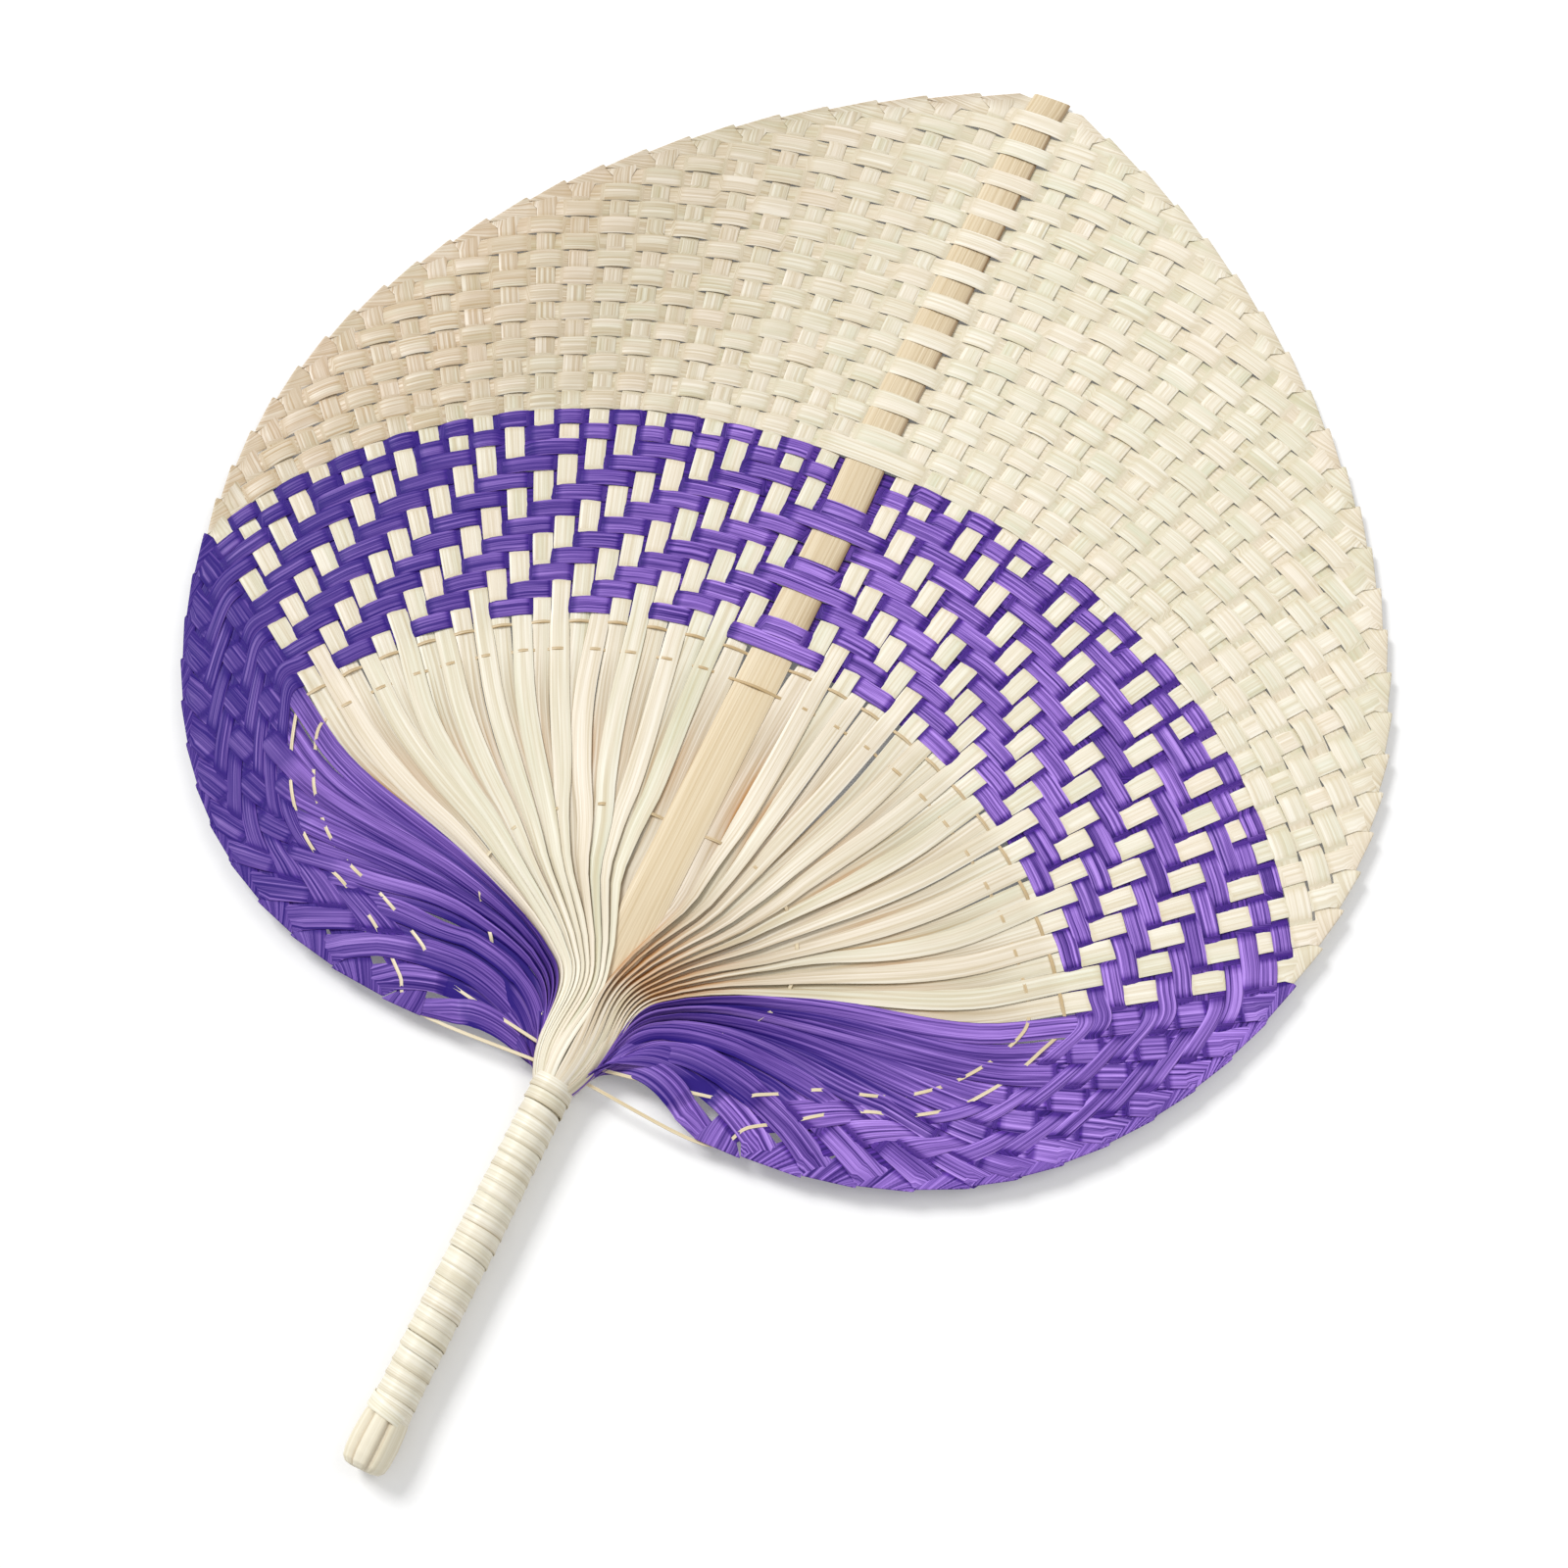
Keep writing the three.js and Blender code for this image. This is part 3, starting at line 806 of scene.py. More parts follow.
    def row(self, j: Number, k: Number) -> Tuple[Array, Array]:
        """Where row j crosses splint k: rows share the woven length of the splint evenly.

        Args:
            j: Row numbers.
            k: Numbers of the splints crossed.

        Returns:
            The distances from the neck and the rows' pitch there.
        """
        p = self.plan
        j = np.asarray(j, float)
        k = np.asarray(k, float)
        start = self.inner_radius(k)
        fold = np.where(k > p.count, p.leaf_length - p.row_below_tip, self.fold_radius(k))
        split = self.band_outer_at(self.rim_angle(k))
        lobe = (fold - start) / np.maximum(k - 0.5, 0.5)
        band = (split - start) / p.purple_count
        rows = np.where(k > p.count, p.natural_count, k - p.purple_count - 0.5)
        field_pitch = (fold - split) / np.where(rows > 0, rows, 1.0)
        pitch = np.where(self.purple(k), lobe, np.where(j <= p.purple_count, band, field_pitch))
        base = np.where(self.purple(k) | (j <= p.purple_count), start, split)
        first = np.where(self.purple(k) | (j <= p.purple_count), 0.5, p.purple_count + 0.5)
        return base + pitch * (j - first), pitch

    def side(self, j: Number, k: Number) -> Array:
        """Gives 1 where row j passes over splint k and -1 where it passes under.

        Natural rows, and the two purple rows next to them, go over and under by turns. The other purple rows
        go over two and under two. At the spine the first natural row goes over and the last purple
        row under.

        Args:
            j: Row numbers.
            k: Numbers of the splints crossed.

        Returns:
            1 or -1 for each crossing.
        """
        p = self.plan
        j, k = np.broadcast_arrays(np.asarray(j, int), np.asarray(k, int))
        step = k - j + 1
        over = np.where(j >= p.purple_count - 1, step % 2 == 1, step % 4 < 2)
        spine = k > p.count
        over = np.where(spine & (j == p.purple_count + 1), True, over)
        over = np.where(spine & (j == p.purple_count), False, over)
        return np.where(over | (j == k), 1, -1)

    def floats(
        self, at: Array, knots: Array, signs: Array, ends: Pair, last: Optional[float] = None
    ) -> Tuple[Array, Array, Array]:
        """Splits a strip into floats and gives the rise of each: a blunted sine over the float.

        Args:
            at: Places along the strip.
            knots: The places of the crossings.
            signs: 1 or -1 at each crossing.
            ends: Where the first float starts and the last one stops.
            last: The place of the last change of side, where it isn't midway.

        Returns:
            The rise from -1 to 1, the number of the float, and the place in it from 0 to 1.
        """
        change = np.nonzero(np.diff(signs))[0]
        middles = (knots[change] + knots[change + 1]) / 2
        if last is not None and len(change) and change[-1] == len(knots) - 2:
            middles[-1] = last
        stop = 2 * knots[-1] - middles[-1] if last is not None and len(change) else ends[1]
        bounds = np.concatenate([[ends[0]], middles, [stop]])
        run = np.clip(np.searchsorted(bounds, at, side="right") - 1, 0, len(bounds) - 2)
        place = clamped((at - bounds[run]) / (bounds[run + 1] - bounds[run]))
        way = signs[np.concatenate([[0], change + 1])]
        return way[run] * np.sin(np.pi * place) ** self.bluntness, run, place

    def in_space(self, plane: Array, z: Array) -> Array:
        """Adds heights to places in the leaf's plane and puts them on this hand's side."""
        return np.column_stack([self.hand * plane[:, 0], plane[:, 1], z])

    def splint_tones(self, k: int, run: Array, side: Number, stain_and_shade: Array, raised: Array) -> Array:
        """Gathers the four tones of a splint's sections.

        Args:
            k: The splint's number.
            run: The number of the float that each section is on.
            side: The hand that the float is on, or 0 for a float that both hands share.
            stain_and_shade: How dark each section is by stains and painted shade, from 0 to 1.
            raised: How far each section stands up, from 0 to 1, which sets its painted highlight and painted
                shade.

        Returns:
            Four tones to a row.
        """
        own = 0.5 + 0.5 * float(scatter(float(k), Draw.TONE))
        return tones(len(run), own, 0.5 + 0.5 * scatter(float(k), run, side), stain_and_shade, raised)

    def shade(self, plane: Array) -> Array:
        """Painted shade on the left side, which starts right of the spine and grows to the left."""
        return self.shade_depth * eased((self.shade_start - self.hand * plane[:, 0]) / self.shade_length)

    def leg_width(self, k: int, r: Array) -> Array:
        """A splint's width as it rises: free splints cover neighbours, and woven ones fill their pitch.

        Args:
            k: The splint's number.
            r: Distances from the neck.

        Returns:
            The widths.
        """
        lie = self.lie(k)
        chance = self.chance(k, Draw.WIDTH)
        inner = self.inner_radius(k)
        slit_length = np.maximum(inner - self.slit_inset, self.least_slit)
        parted = np.sin(np.pi * clamped((r - self.slit_start) / slit_length))
        cover = self.odd_cover + self.cover_chance * chance if k % 2 else self.even_cover
        loose = cover - (lie.slit + lie.slit_chance * chance) * parted
        lowest = lowness(k, LOWEST)
        full = self.width(k) * (lie.full + self.lowest_full * lowest + lie.full_chance * chance)
        free = np.clip(loose * self.pitch(k, r), self.least_width, full)
        opened = lowest * eased((r - self.neck_radius(k) + self.width_run_in) / self.opening)
        free = np.maximum(free, between(self.least_width, self.lowest_width, opened))
        woven = np.minimum(lie.woven_fill * self.pitch(k, r), np.maximum(full, lie.broad * self.width(k)))
        woven = np.maximum(woven, self.lowest_woven * lowest)
        return between(free, woven, eased((r - inner + self.width_run_in) / self.joining))

    def lean(self, k: int, r: Array) -> Array:
        """How far a splint leans on its neighbour, like a slat, where they are crowded."""
        crowd = eased((self.inner_radius(k) - r - self.lean_stop) / self.lean_length)
        own = 1 + self.lean_chance * self.chance(k, Draw.LEAN)
        own = own * (self.odd_lean if k % 2 else self.even_lean)
        own = own * (1 - self.lobe_upright * lowness(k, UPRIGHT))
        slope = own * crowd * self.mine(self.lie(k).lean) / self.pitch(k, r)
        return np.arcsin(np.clip(slope, -self.steepest, self.steepest))

    def free_share(self, r: Array, inner: float) -> Array:
        """How far along its free part a splint is, from 0 near the neck to 1 at the weave."""
        return clamped((r - self.sway_start) / max(inner - self.sway_inset, 1.0))

    def sway(self, k: int, r: Array, start: float, inner: float) -> Array:
        """How far a free splint bends aside: slow arches and waves, and a stray and a knee of its own.

        Args:
            k: The splint's number.
            r: Distances from the neck.
            start: Where the splint leaves the neck.
            inner: Where its weave starts.

        Returns:
            The bends, outwards from the spine.
        """
        share = self.free_share(r, inner)
        arch = np.sin(np.pi * share)
        shared = float(wander(0.8 * k, seed=5.0 * self.hand))
        if k == self.plan.count and self.hand < 0:
            shared = shared - self.last_sway
        stray = self.mine(self.odd_stray) if k % 2 else self.even_stray
        bend = (self.shared_sway * shared + stray * self.chance(k, Draw.STRAY)) * arch
        turned = float(wander(1.1 * k, seed=9.0 * self.hand))
        bend = bend + self.wave_sway * turned * np.sin(2 * np.pi * share)
        knee = self.chance(k, Draw.KNEE) * np.tanh((r - self.knee_radius) / self.knee_length)
        bend = bend + self.lie(k).knee * knee * arch**2
        bend = bend * float(eased((inner - self.sway_inset) / self.sway_growth))
        if self.hand > 0:
            return bend
        hanging = clamped((inner + self.width_run_in - r) / (inner + self.width_run_in - start))
        return bend + self.left_sag * lowness(k, SAGGING) * hanging

    def leg_stain_and_shade(self, k: int, r: Array, start: float, inner: float) -> Array:
        """The stains and painted shade of a free splint: they fade from the neck, and even splints are
        painted in shadow where hidden.

        Args:
            k: The splint's number.
            r: Distances from the neck.
            start: Where the splint leaves the neck.
            inner: Where its weave starts.

        Returns:
            The stains and painted shade at each distance, from 0 to 1.
        """
        lie = self.lie(k)
        # Stains and painted crease shade at the neck, fading outwards.
        at_neck = self.mine(lie.odd_stain_and_shade) if k % 2 else lie.even_stain_and_shade
        stain_and_shade = at_neck * eased(1 - (r - start) / lie.stain_shade_length)
        # Painted shadow on the even splints where they lie hidden behind the odd ones.
        if k % 2 == 0:
            share = clamped((r - self.hidden_start) / max(inner - self.hidden_inset, 1.0))
            stain_and_shade = np.maximum(stain_and_shade, lie.hidden_shadow * np.sin(np.pi * share) ** 0.7)
        return np.maximum(stain_and_shade, lie.aged)

    def leg(self, k: int) -> Edges:
        """The rising part of splint k, from the neck to just short of the fold.

        Args:
            k: The splint's number.

        Returns:
            The edges, the one nearer to the spine first.
        """
        lie = self.lie(k)
        start = float(self.neck_radius(k))
        inner = float(self.inner_radius(k))
        stop = max(float(self.fold_radius(k)) - self.fold_length, inner + 1.0)
        begin = float(between(start, inner - self.bottom_stop, self.bottom_skip * lowness(k, BOTTOM)))
        free = between(begin, inner, np.linspace(0.0, 1.0, self.free_sections))
        woven = np.linspace(inner, stop, self.crossing_sections * max(k - 1, 1) + 1)[1:]
        r = np.concatenate([free, woven])
        rows = np.arange(1, max(k, 2))
        knots, _ = self.row(rows, float(k))
        ends = (inner - self.weave_run_in, stop + self.fold_run_out)
        rise, run, place = self.floats(r, knots, -self.side(rows, k), ends)
        fade = clamped((r - inner + self.weave_run_in) / self.weave_run_in)
        near = clamped((self.layer_reach - r) / (self.layer_reach - start))
        front = 1.0 if k % 2 else -1.0
        layer = front * (self.layer_lift + self.layer_more * near) * (1 - fade)
        beside_spine = eased((k - self.spine_layer_from) / self.spine_layer_over)
        layer = layer + self.spine_layer * self.hand * beside_spine * near
        if k % 2:
            layer = layer + self.layer_chance * self.chance(k, Draw.LAYER) * near * (1 - fade)
        z = self.warp_lift * rise * fade + layer
        way = self.along(k, r)
        out = np.stack([way[:, 1], -way[:, 0]], axis=-1)
        c = self.centre(k, r) + out * self.sway(k, r, start, inner)[:, None]
        half = self.leg_width(k, r) / 2
        lean = self.lean(k, r) - self.weave_lean * fade
        flat = half * np.cos(lean)
        tuck = np.zeros(len(r))
        if k == self.plan.count:
            tuck = self.tuck * np.sqrt(np.sin(np.pi * self.free_share(r, inner)))
        a = self.in_space(c - out * (flat + tuck)[:, None], z + half * np.sin(lean))
        b = self.in_space(c + out * flat[:, None], z - half * np.sin(lean))
        # Painted shade on the left side, lighter inside the band; in the weave it takes over from the neck's
        # stains and painted shade.
        outer = self.band_outer_at(self.rim_angle(k))
        past_band = eased((r - outer + self.band_run_in) / self.band_run_out)
        shade = self.shade(c) * between(lie.band_shade, 1.0, past_band)
        stain_and_shade = between(self.leg_stain_and_shade(k, r, start, inner), shade, fade)
        # The raised tone paints a highlight on free parts and float tops, and shade at float ends.
        raised = between(self.raised_free, flat_topped(place), fade * float(k > 1))
        # The neck's stains and painted crease shade keep to one edge of the free part.
        gather = (self.mine(lie.gather) if k % 2 else self.even_gather) * (1 - fade)
        return Edges.even(a, b, self.warp_crown, self.splint_tones(k, run, self.hand, stain_and_shade, raised), gather)

    def tail(self, k: int, head: Edges) -> Edges:
        """The gathered end of splint k: a cubic curve from inside the binding to the rising part.

        Args:
            k: The splint's number.
            head: The rising part that the tail joins.

        Returns:
            The edges, without the joint's own section.
        """
        p = self.plan
        share = (k - 0.5) / p.count
        front = 1.0 if k % 2 else -1.0
        shares = (0.0, p.purple_count / p.count, 1.0)
        lowest = lowness(k, LOWEST)
        behind = self.lobe_turns[k % 2] * lowest if self.hand < 0 else 0.0
        turn = math.radians(float(np.interp(share, shares, self.tail_turns)) + behind)
        ring = self.tail_ring + self.ring_chance * self.chance(k, Draw.TAIL)
        foot = np.array([self.hand * ring * math.sin(turn), -self.tail_depth, front * ring * math.cos(turn)])
        joint = (head.a[0] + head.b[0]) / 2
        ahead = unit((head.a[1] + head.b[1]) / 2 - joint)
        reach = float(np.linalg.norm(joint - foot))
        slope = float(np.interp(share, shares, self.tail_slopes))
        rising = unit(np.array([slope * self.hand * math.sin(turn), 1.0, 0.0]))
        lead = self.lead - self.lead_loss * lowest
        climb = self.climb + self.climb_gain * self.hand * lowness(k, BOTTOM)
        controls = np.stack([foot, foot + climb * reach * rising, joint - lead * reach * ahead, joint])
        s = np.linspace(0.0, 1.0, self.tail_sections + 1)[:-1, None]
        curve = (1 - s) ** 3 * controls[0] + 3 * s * (1 - s) ** 2 * controls[1]
        curve = curve + 3 * s * s * (1 - s) * controls[2] + s**3 * controls[3]
        level = np.array([self.hand * math.cos(turn), 0.0, -front * math.sin(turn)])
        opened = eased(s * (1 + self.lobe_opening * lowest))
        across = unit(between(level[None, :], unit(head.b[0] - head.a[0])[None, :], opened))
        half = between(self.tail_half, float(np.linalg.norm(head.b[0] - head.a[0])) / 2, opened)
        tone = np.repeat(head.tone[:1], len(s), axis=0)
        # The neck's stains and painted crease shade fade towards the foot.
        tone[:, 2] *= between(self.tail_stain_and_shade, 1.0, s[:, 0])
        out = across * half
        return Edges.even(curve - out, curve + out, self.warp_crown, tone, head.gather[0])

    def crossing(self, j: int) -> Tuple[Edges, float]:
        """Row j from just past its fold to the middle of the spine.

        The row's middle is a smooth curve through its crossings. Its height is a blunted sine over each
        float. Each float rolls and wanders a little.

        Args:
            j: The row's number.

        Returns:
            The edges, the outer one first, and the height at the fold.
        """
        p = self.plan
        k = np.arange(j, p.count + 2)
        spans = len(k) - 1
        r, pitch = self.row(j, k)
        near = np.minimum(k, p.count)
        middle = self.centre(near, r)
        way = self.along(near, r)
        middle[-1] = (0.0, r[-1])
        way[-1] = (0.0, 1.0)
        mirrored = np.vstack([middle, [-middle[-2, 0], middle[-2, 1]]])
        slopes = np.gradient(mirrored, axis=0)[:-1]
        run_way = unit(slopes)
        slant = np.abs(run_way[:, 0] * way[:, 1] - run_way[:, 1] * way[:, 0])
        steps = self.lie(j).row_steps
        at = np.concatenate([[0.0], np.linspace(self.row_start, spans, steps * spans - steps // 2 + 1)])
        here = hermite(middle, slopes, at)
        i = np.arange(len(k), dtype=float)
        lobe_spread = np.where(k < self.spread_until, self.lowest_spread, self.lobe_spread)
        full = self.width(j) * np.where(self.purple(k), lobe_spread, self.field_spread)
        fill = np.where(k < self.fill_until, self.lowest_fill, self.row_fill)
        wide = np.minimum(full / np.maximum(slant, self.least_slant), fill * pitch)
        widened = 1 + self.widening * wander(at * 0.8, seed=j + 17.0 * self.hand)
        reach = np.interp(at, i, wide) / 2 * widened
        heading = unit(np.column_stack([np.interp(at, i, way[:, 0]), np.interp(at, i, way[:, 1])]))
        gap = float(np.linalg.norm(middle[-1] - middle[-2]))
        edge = float(self.leg_width(p.count, r[-2:-1])[0]) / 2
        last = spans - 1 + (gap + edge - p.spine_half_width) / (2 * gap)
        rise, run, place = self.floats(at, i, self.side(j, k), (self.float_start, 2.0 * spans), last)
        on_spine = run == run.max()
        side = np.where(on_spine, 0.0, self.hand)
        level = between(self.lobe_lift, self.row_lift, eased((j + at - self.lift_from) / self.lift_over))
        lift = np.where(on_spine, self.spine_lift, level)
        z = rise * (lift * (1 + self.lift_chance * scatter(float(j), run, side)))
        fade = np.sin(np.pi * np.clip((spans - at) / self.calm_spans, 0.0, 0.5))
        roll = self.rolling * scatter(float(j), run, self.hand, Draw.ROLL) * np.sin(np.pi * place) * fade
        stray = self.straying * wander(at * 1.3, seed=j + 40.0 * self.hand) * fade
        here = here + heading * stray[:, None]
        a = self.in_space(here + heading * reach[:, None], z + reach * roll)
        b = self.in_space(here - heading * reach[:, None], z - reach * roll)
        # Painted highlight on floats that pass over, and painted shade where the row passes under.
        standing = np.where(rise > 0, flat_topped(place), self.raised_under)
        # Rows take the painted shade of the left side.
        tone = self.splint_tones(j, run + ROW_RUNS, side, self.shade(here), standing)
        return Edges.even(a[1:], b[1:], -self.row_crown, tone[1:]), float(z[0])

    def rim_line(self, k: int) -> Tuple[Array, Array]:
        """The line that splint k folds on: along the rim, about half way to the folds on both sides.

        Args:
            k: The splint's number.

        Returns:
            The line's ends, the one nearer to the tip first.
        """
        p = self.plan
        ks = np.array([max(k - 1, 1), k, min(k + 1, p.count)], float)
        folds = self.centre(ks, self.fold_radius(ks))
        if k == p.count:
            folds[2] = (p.spine_half_width, p.leaf_length - p.fold_below_tip)
        if k == 1:
            folds[0] = 2 * folds[1] - folds[2]
        way = unit((folds[2] - folds[0])[None, :])[0]
        out = np.array([way[1], -way[0]])
        step = self.lie(k).rim_step
        a = between(folds[1], folds[2], self.fold_above) + out * step
        b = between(folds[1], folds[0], self.fold_below if k > 1 else self.fold_lowest) - out * step
        return a, b

    def fold(self, k: int, height: float, onward: Edges) -> Edges:
        """The fold at the rim: half a turn of the strip about a line along the rim.

        Sections stand on the line, moved outwards by the cosine and upwards by the sine of half a turn. Four
        more sections lead straight into the row.

        Args:
            k: The splint's number.
            height: How high the row starts.
            onward: The row that follows.

        Returns:
            The edges of the fold.
        """
        a, b = self.rim_line(k)
        line = unit((a - b)[None, :])[0]
        square = np.array([line[1], -line[0]])
        turn = np.linspace(-np.pi / 2, np.pi / 2, self.fold_sections)
        bulge = (height / 2) * np.cos(turn)[:, None] * square[None, :]
        z = (height / 2) * (1 + np.sin(turn))
        fold_a = self.in_space(a[None, :] + bulge, z)
        fold_b = self.in_space(b[None, :] + bulge, z)
        s = np.array([0.2, 0.4, 0.6, 0.8])[:, None]
        a_all = np.vstack([fold_a, between(fold_a[-1:], onward.a[:1], s)])
        b_all = np.vstack([fold_b, between(fold_b[-1:], onward.b[:1], s)])
        crown = np.concatenate([np.zeros(self.fold_sections), -self.row_crown * s[:, 0]])
        tone = np.repeat(onward.tone[:1], len(a_all), axis=0)
        # Painted shade on the fold, heavier on the left; the fold's raised tone sets its painted highlight.
        rim = np.concatenate([np.ones(self.fold_sections), 1 - s[:, 0]]) * self.mine(self.lie(k).rim_painted_shade)
        tone[:, 2] = np.maximum(tone[:, 2], rim)
        tone[:, 3] = self.raised_fold
        return Edges(a_all, b_all, crown, tone, np.zeros(len(crown)))

    def splint(self, k: int) -> Edges:
        """Half of splint k: tail, rise, fold and row, up to the middle of the spine."""
        head = self.leg(k)
        onward, height = self.crossing(k)
        last_run = head.tone[:, 1] == head.tone[-1, 1]
        head.tone[last_run, 1] = onward.tone[0, 1]
        return Edges.chain([self.tail(k, head), head, self.fold(k, height, onward), onward])


class Shader:
    """The nodes of a material or of the world, made through one method."""

    def __init__(self, owner: Union[bpy.types.Material, bpy.types.World]) -> None:
        """Empties the owner's nodes."""
        owner.use_nodes = True
        self.tree = owner.node_tree
        self.tree.nodes.clear()

    def node(self, kind: str, settings: Optional[Dict[str, Any]] = None, **sockets: Any) -> bpy.types.Node:
        """Adds a node.

        Args:
            kind: The node's type.
            settings: Its settings, set first.
            sockets: Values or links, by the socket's name with _ for a space, or in0, in1 by number.

        Returns:
            The node.
        """
        made = self.tree.nodes.new(kind)
        for name, value in (settings or {}).items():
            setattr(made, name, value)
        for name, value in sockets.items():
            numbered = name.startswith("in") and name[2:].isdigit()
            socket = made.inputs[int(name[2:]) if numbered else name.replace("_", " ")]
            link = value.socket if isinstance(value, Signal) else value
            if isinstance(link, bpy.types.NodeSocket):
                self.tree.links.new(link, socket)
            else:
                socket.default_value = value
        return made

    def signal(
        self, kind: str, output: int = 0, settings: Optional[Dict[str, Any]] = None, **sockets: Any
    ) -> "Signal":
        """Adds a node and wraps one of its outputs.

        Args:
            kind: The node's type.
            output: The output's number.
            settings: The node's settings.
            sockets: Values or links, as for a node.

        Returns:
            The output.
        """
        return Signal(self, self.node(kind, settings, **sockets).outputs[output])

    def blend(self, share: Any, first: Any, second: Any) -> "Signal":
        """Mixes two colours."""
        settings = {"data_type": "RGBA", "clamp_factor": True}
        return self.signal("ShaderNodeMix", 2, settings, in0=share, in6=first, in7=second)

    def scaled(self, vector: "Signal", by: Triple, shift: Any) -> "Signal":
        """Multiplies a vector and adds a shift."""
        settings = {"operation": "MULTIPLY_ADD"}
        return self.signal("ShaderNodeVectorMath", 0, settings, in0=vector, in1=by, in2=shift)

    def noise(self, at: "Signal", detail: float, roughness: float) -> "Signal":
        """A cloudy noise at a place."""
        sockets = {"Vector": at, "Scale": 1.0, "Detail": detail, "Roughness": roughness}
        return self.signal("ShaderNodeTexNoise", 0, None, **sockets)

    def seen(self) -> "Signal":
        """Gives 1 for what the camera sees, also by way of a mirror or glass, and 0 for other light."""
        path = self.node("ShaderNodeLightPath")
        names = ("Is Camera Ray", "Is Glossy Ray", "Is Transmission Ray")
        camera, glossy, through = (Signal(self, path.outputs[name]) for name in names)
        return (camera + glossy + through).held()


@dataclass(frozen=True)
class Signal:
    """One output, on which plain arithmetic adds Math nodes."""

    shader: Shader
    socket: bpy.types.NodeSocket

    def maths(self, operation: str, first: Any, second: Any, held: bool = False) -> "Signal":
        """Adds a Math node."""
        settings = {"operation": operation, "use_clamp": held}
        return self.shader.signal("ShaderNodeMath", 0, settings, in0=first, in1=second)

    def __add__(self, other: Any) -> "Signal":
        """Adds."""
        return self.maths("ADD", self, other)

    def __radd__(self, other: Any) -> "Signal":
        """Adds, the other way round."""
        return self.maths("ADD", other, self)

    def __sub__(self, other: Any) -> "Signal":
        """Takes away."""
        return self.maths("SUBTRACT", self, other)

    def __rsub__(self, other: Any) -> "Signal":
        """Takes away, the other way round."""
        return self.maths("SUBTRACT", other, self)

    def __mul__(self, other: Any) -> "Signal":
        """Multiplies."""
        return self.maths("MULTIPLY", self, other)

    def __rmul__(self, other: Any) -> "Signal":
        """Multiplies, the other way round."""
        return self.maths("MULTIPLY", other, self)

    def __pow__(self, other: Any) -> "Signal":
        """Raises to a power."""
        return self.maths("POWER", self, other)

    def held(self) -> "Signal":
        """Holds the value to 0..1."""
        return self.maths("ADD", self, 0.0, True)

    def above(self, start: float, gain: float = 1.0) -> "Signal":
        """Rises from 0 at a start with a gain, and is held to 0..1."""
        return ((self - start) * gain).held()


def linear(colour: Colour) -> Tuple[float, float, float, float]:
    """Turns a screen colour of 0 to 255 into linear light.

    Args:
        colour: Red, green and blue.

    Returns:
        Linear red, green, blue and a one.
    """
    share = np.asarray(colour, float) / 255.0
    light = np.where(share <= 0.04045, share / 12.92, ((share + 0.055) / 1.055) ** 2.4)
    return (float(light[0]), float(light[1]), float(light[2]), 1.0)


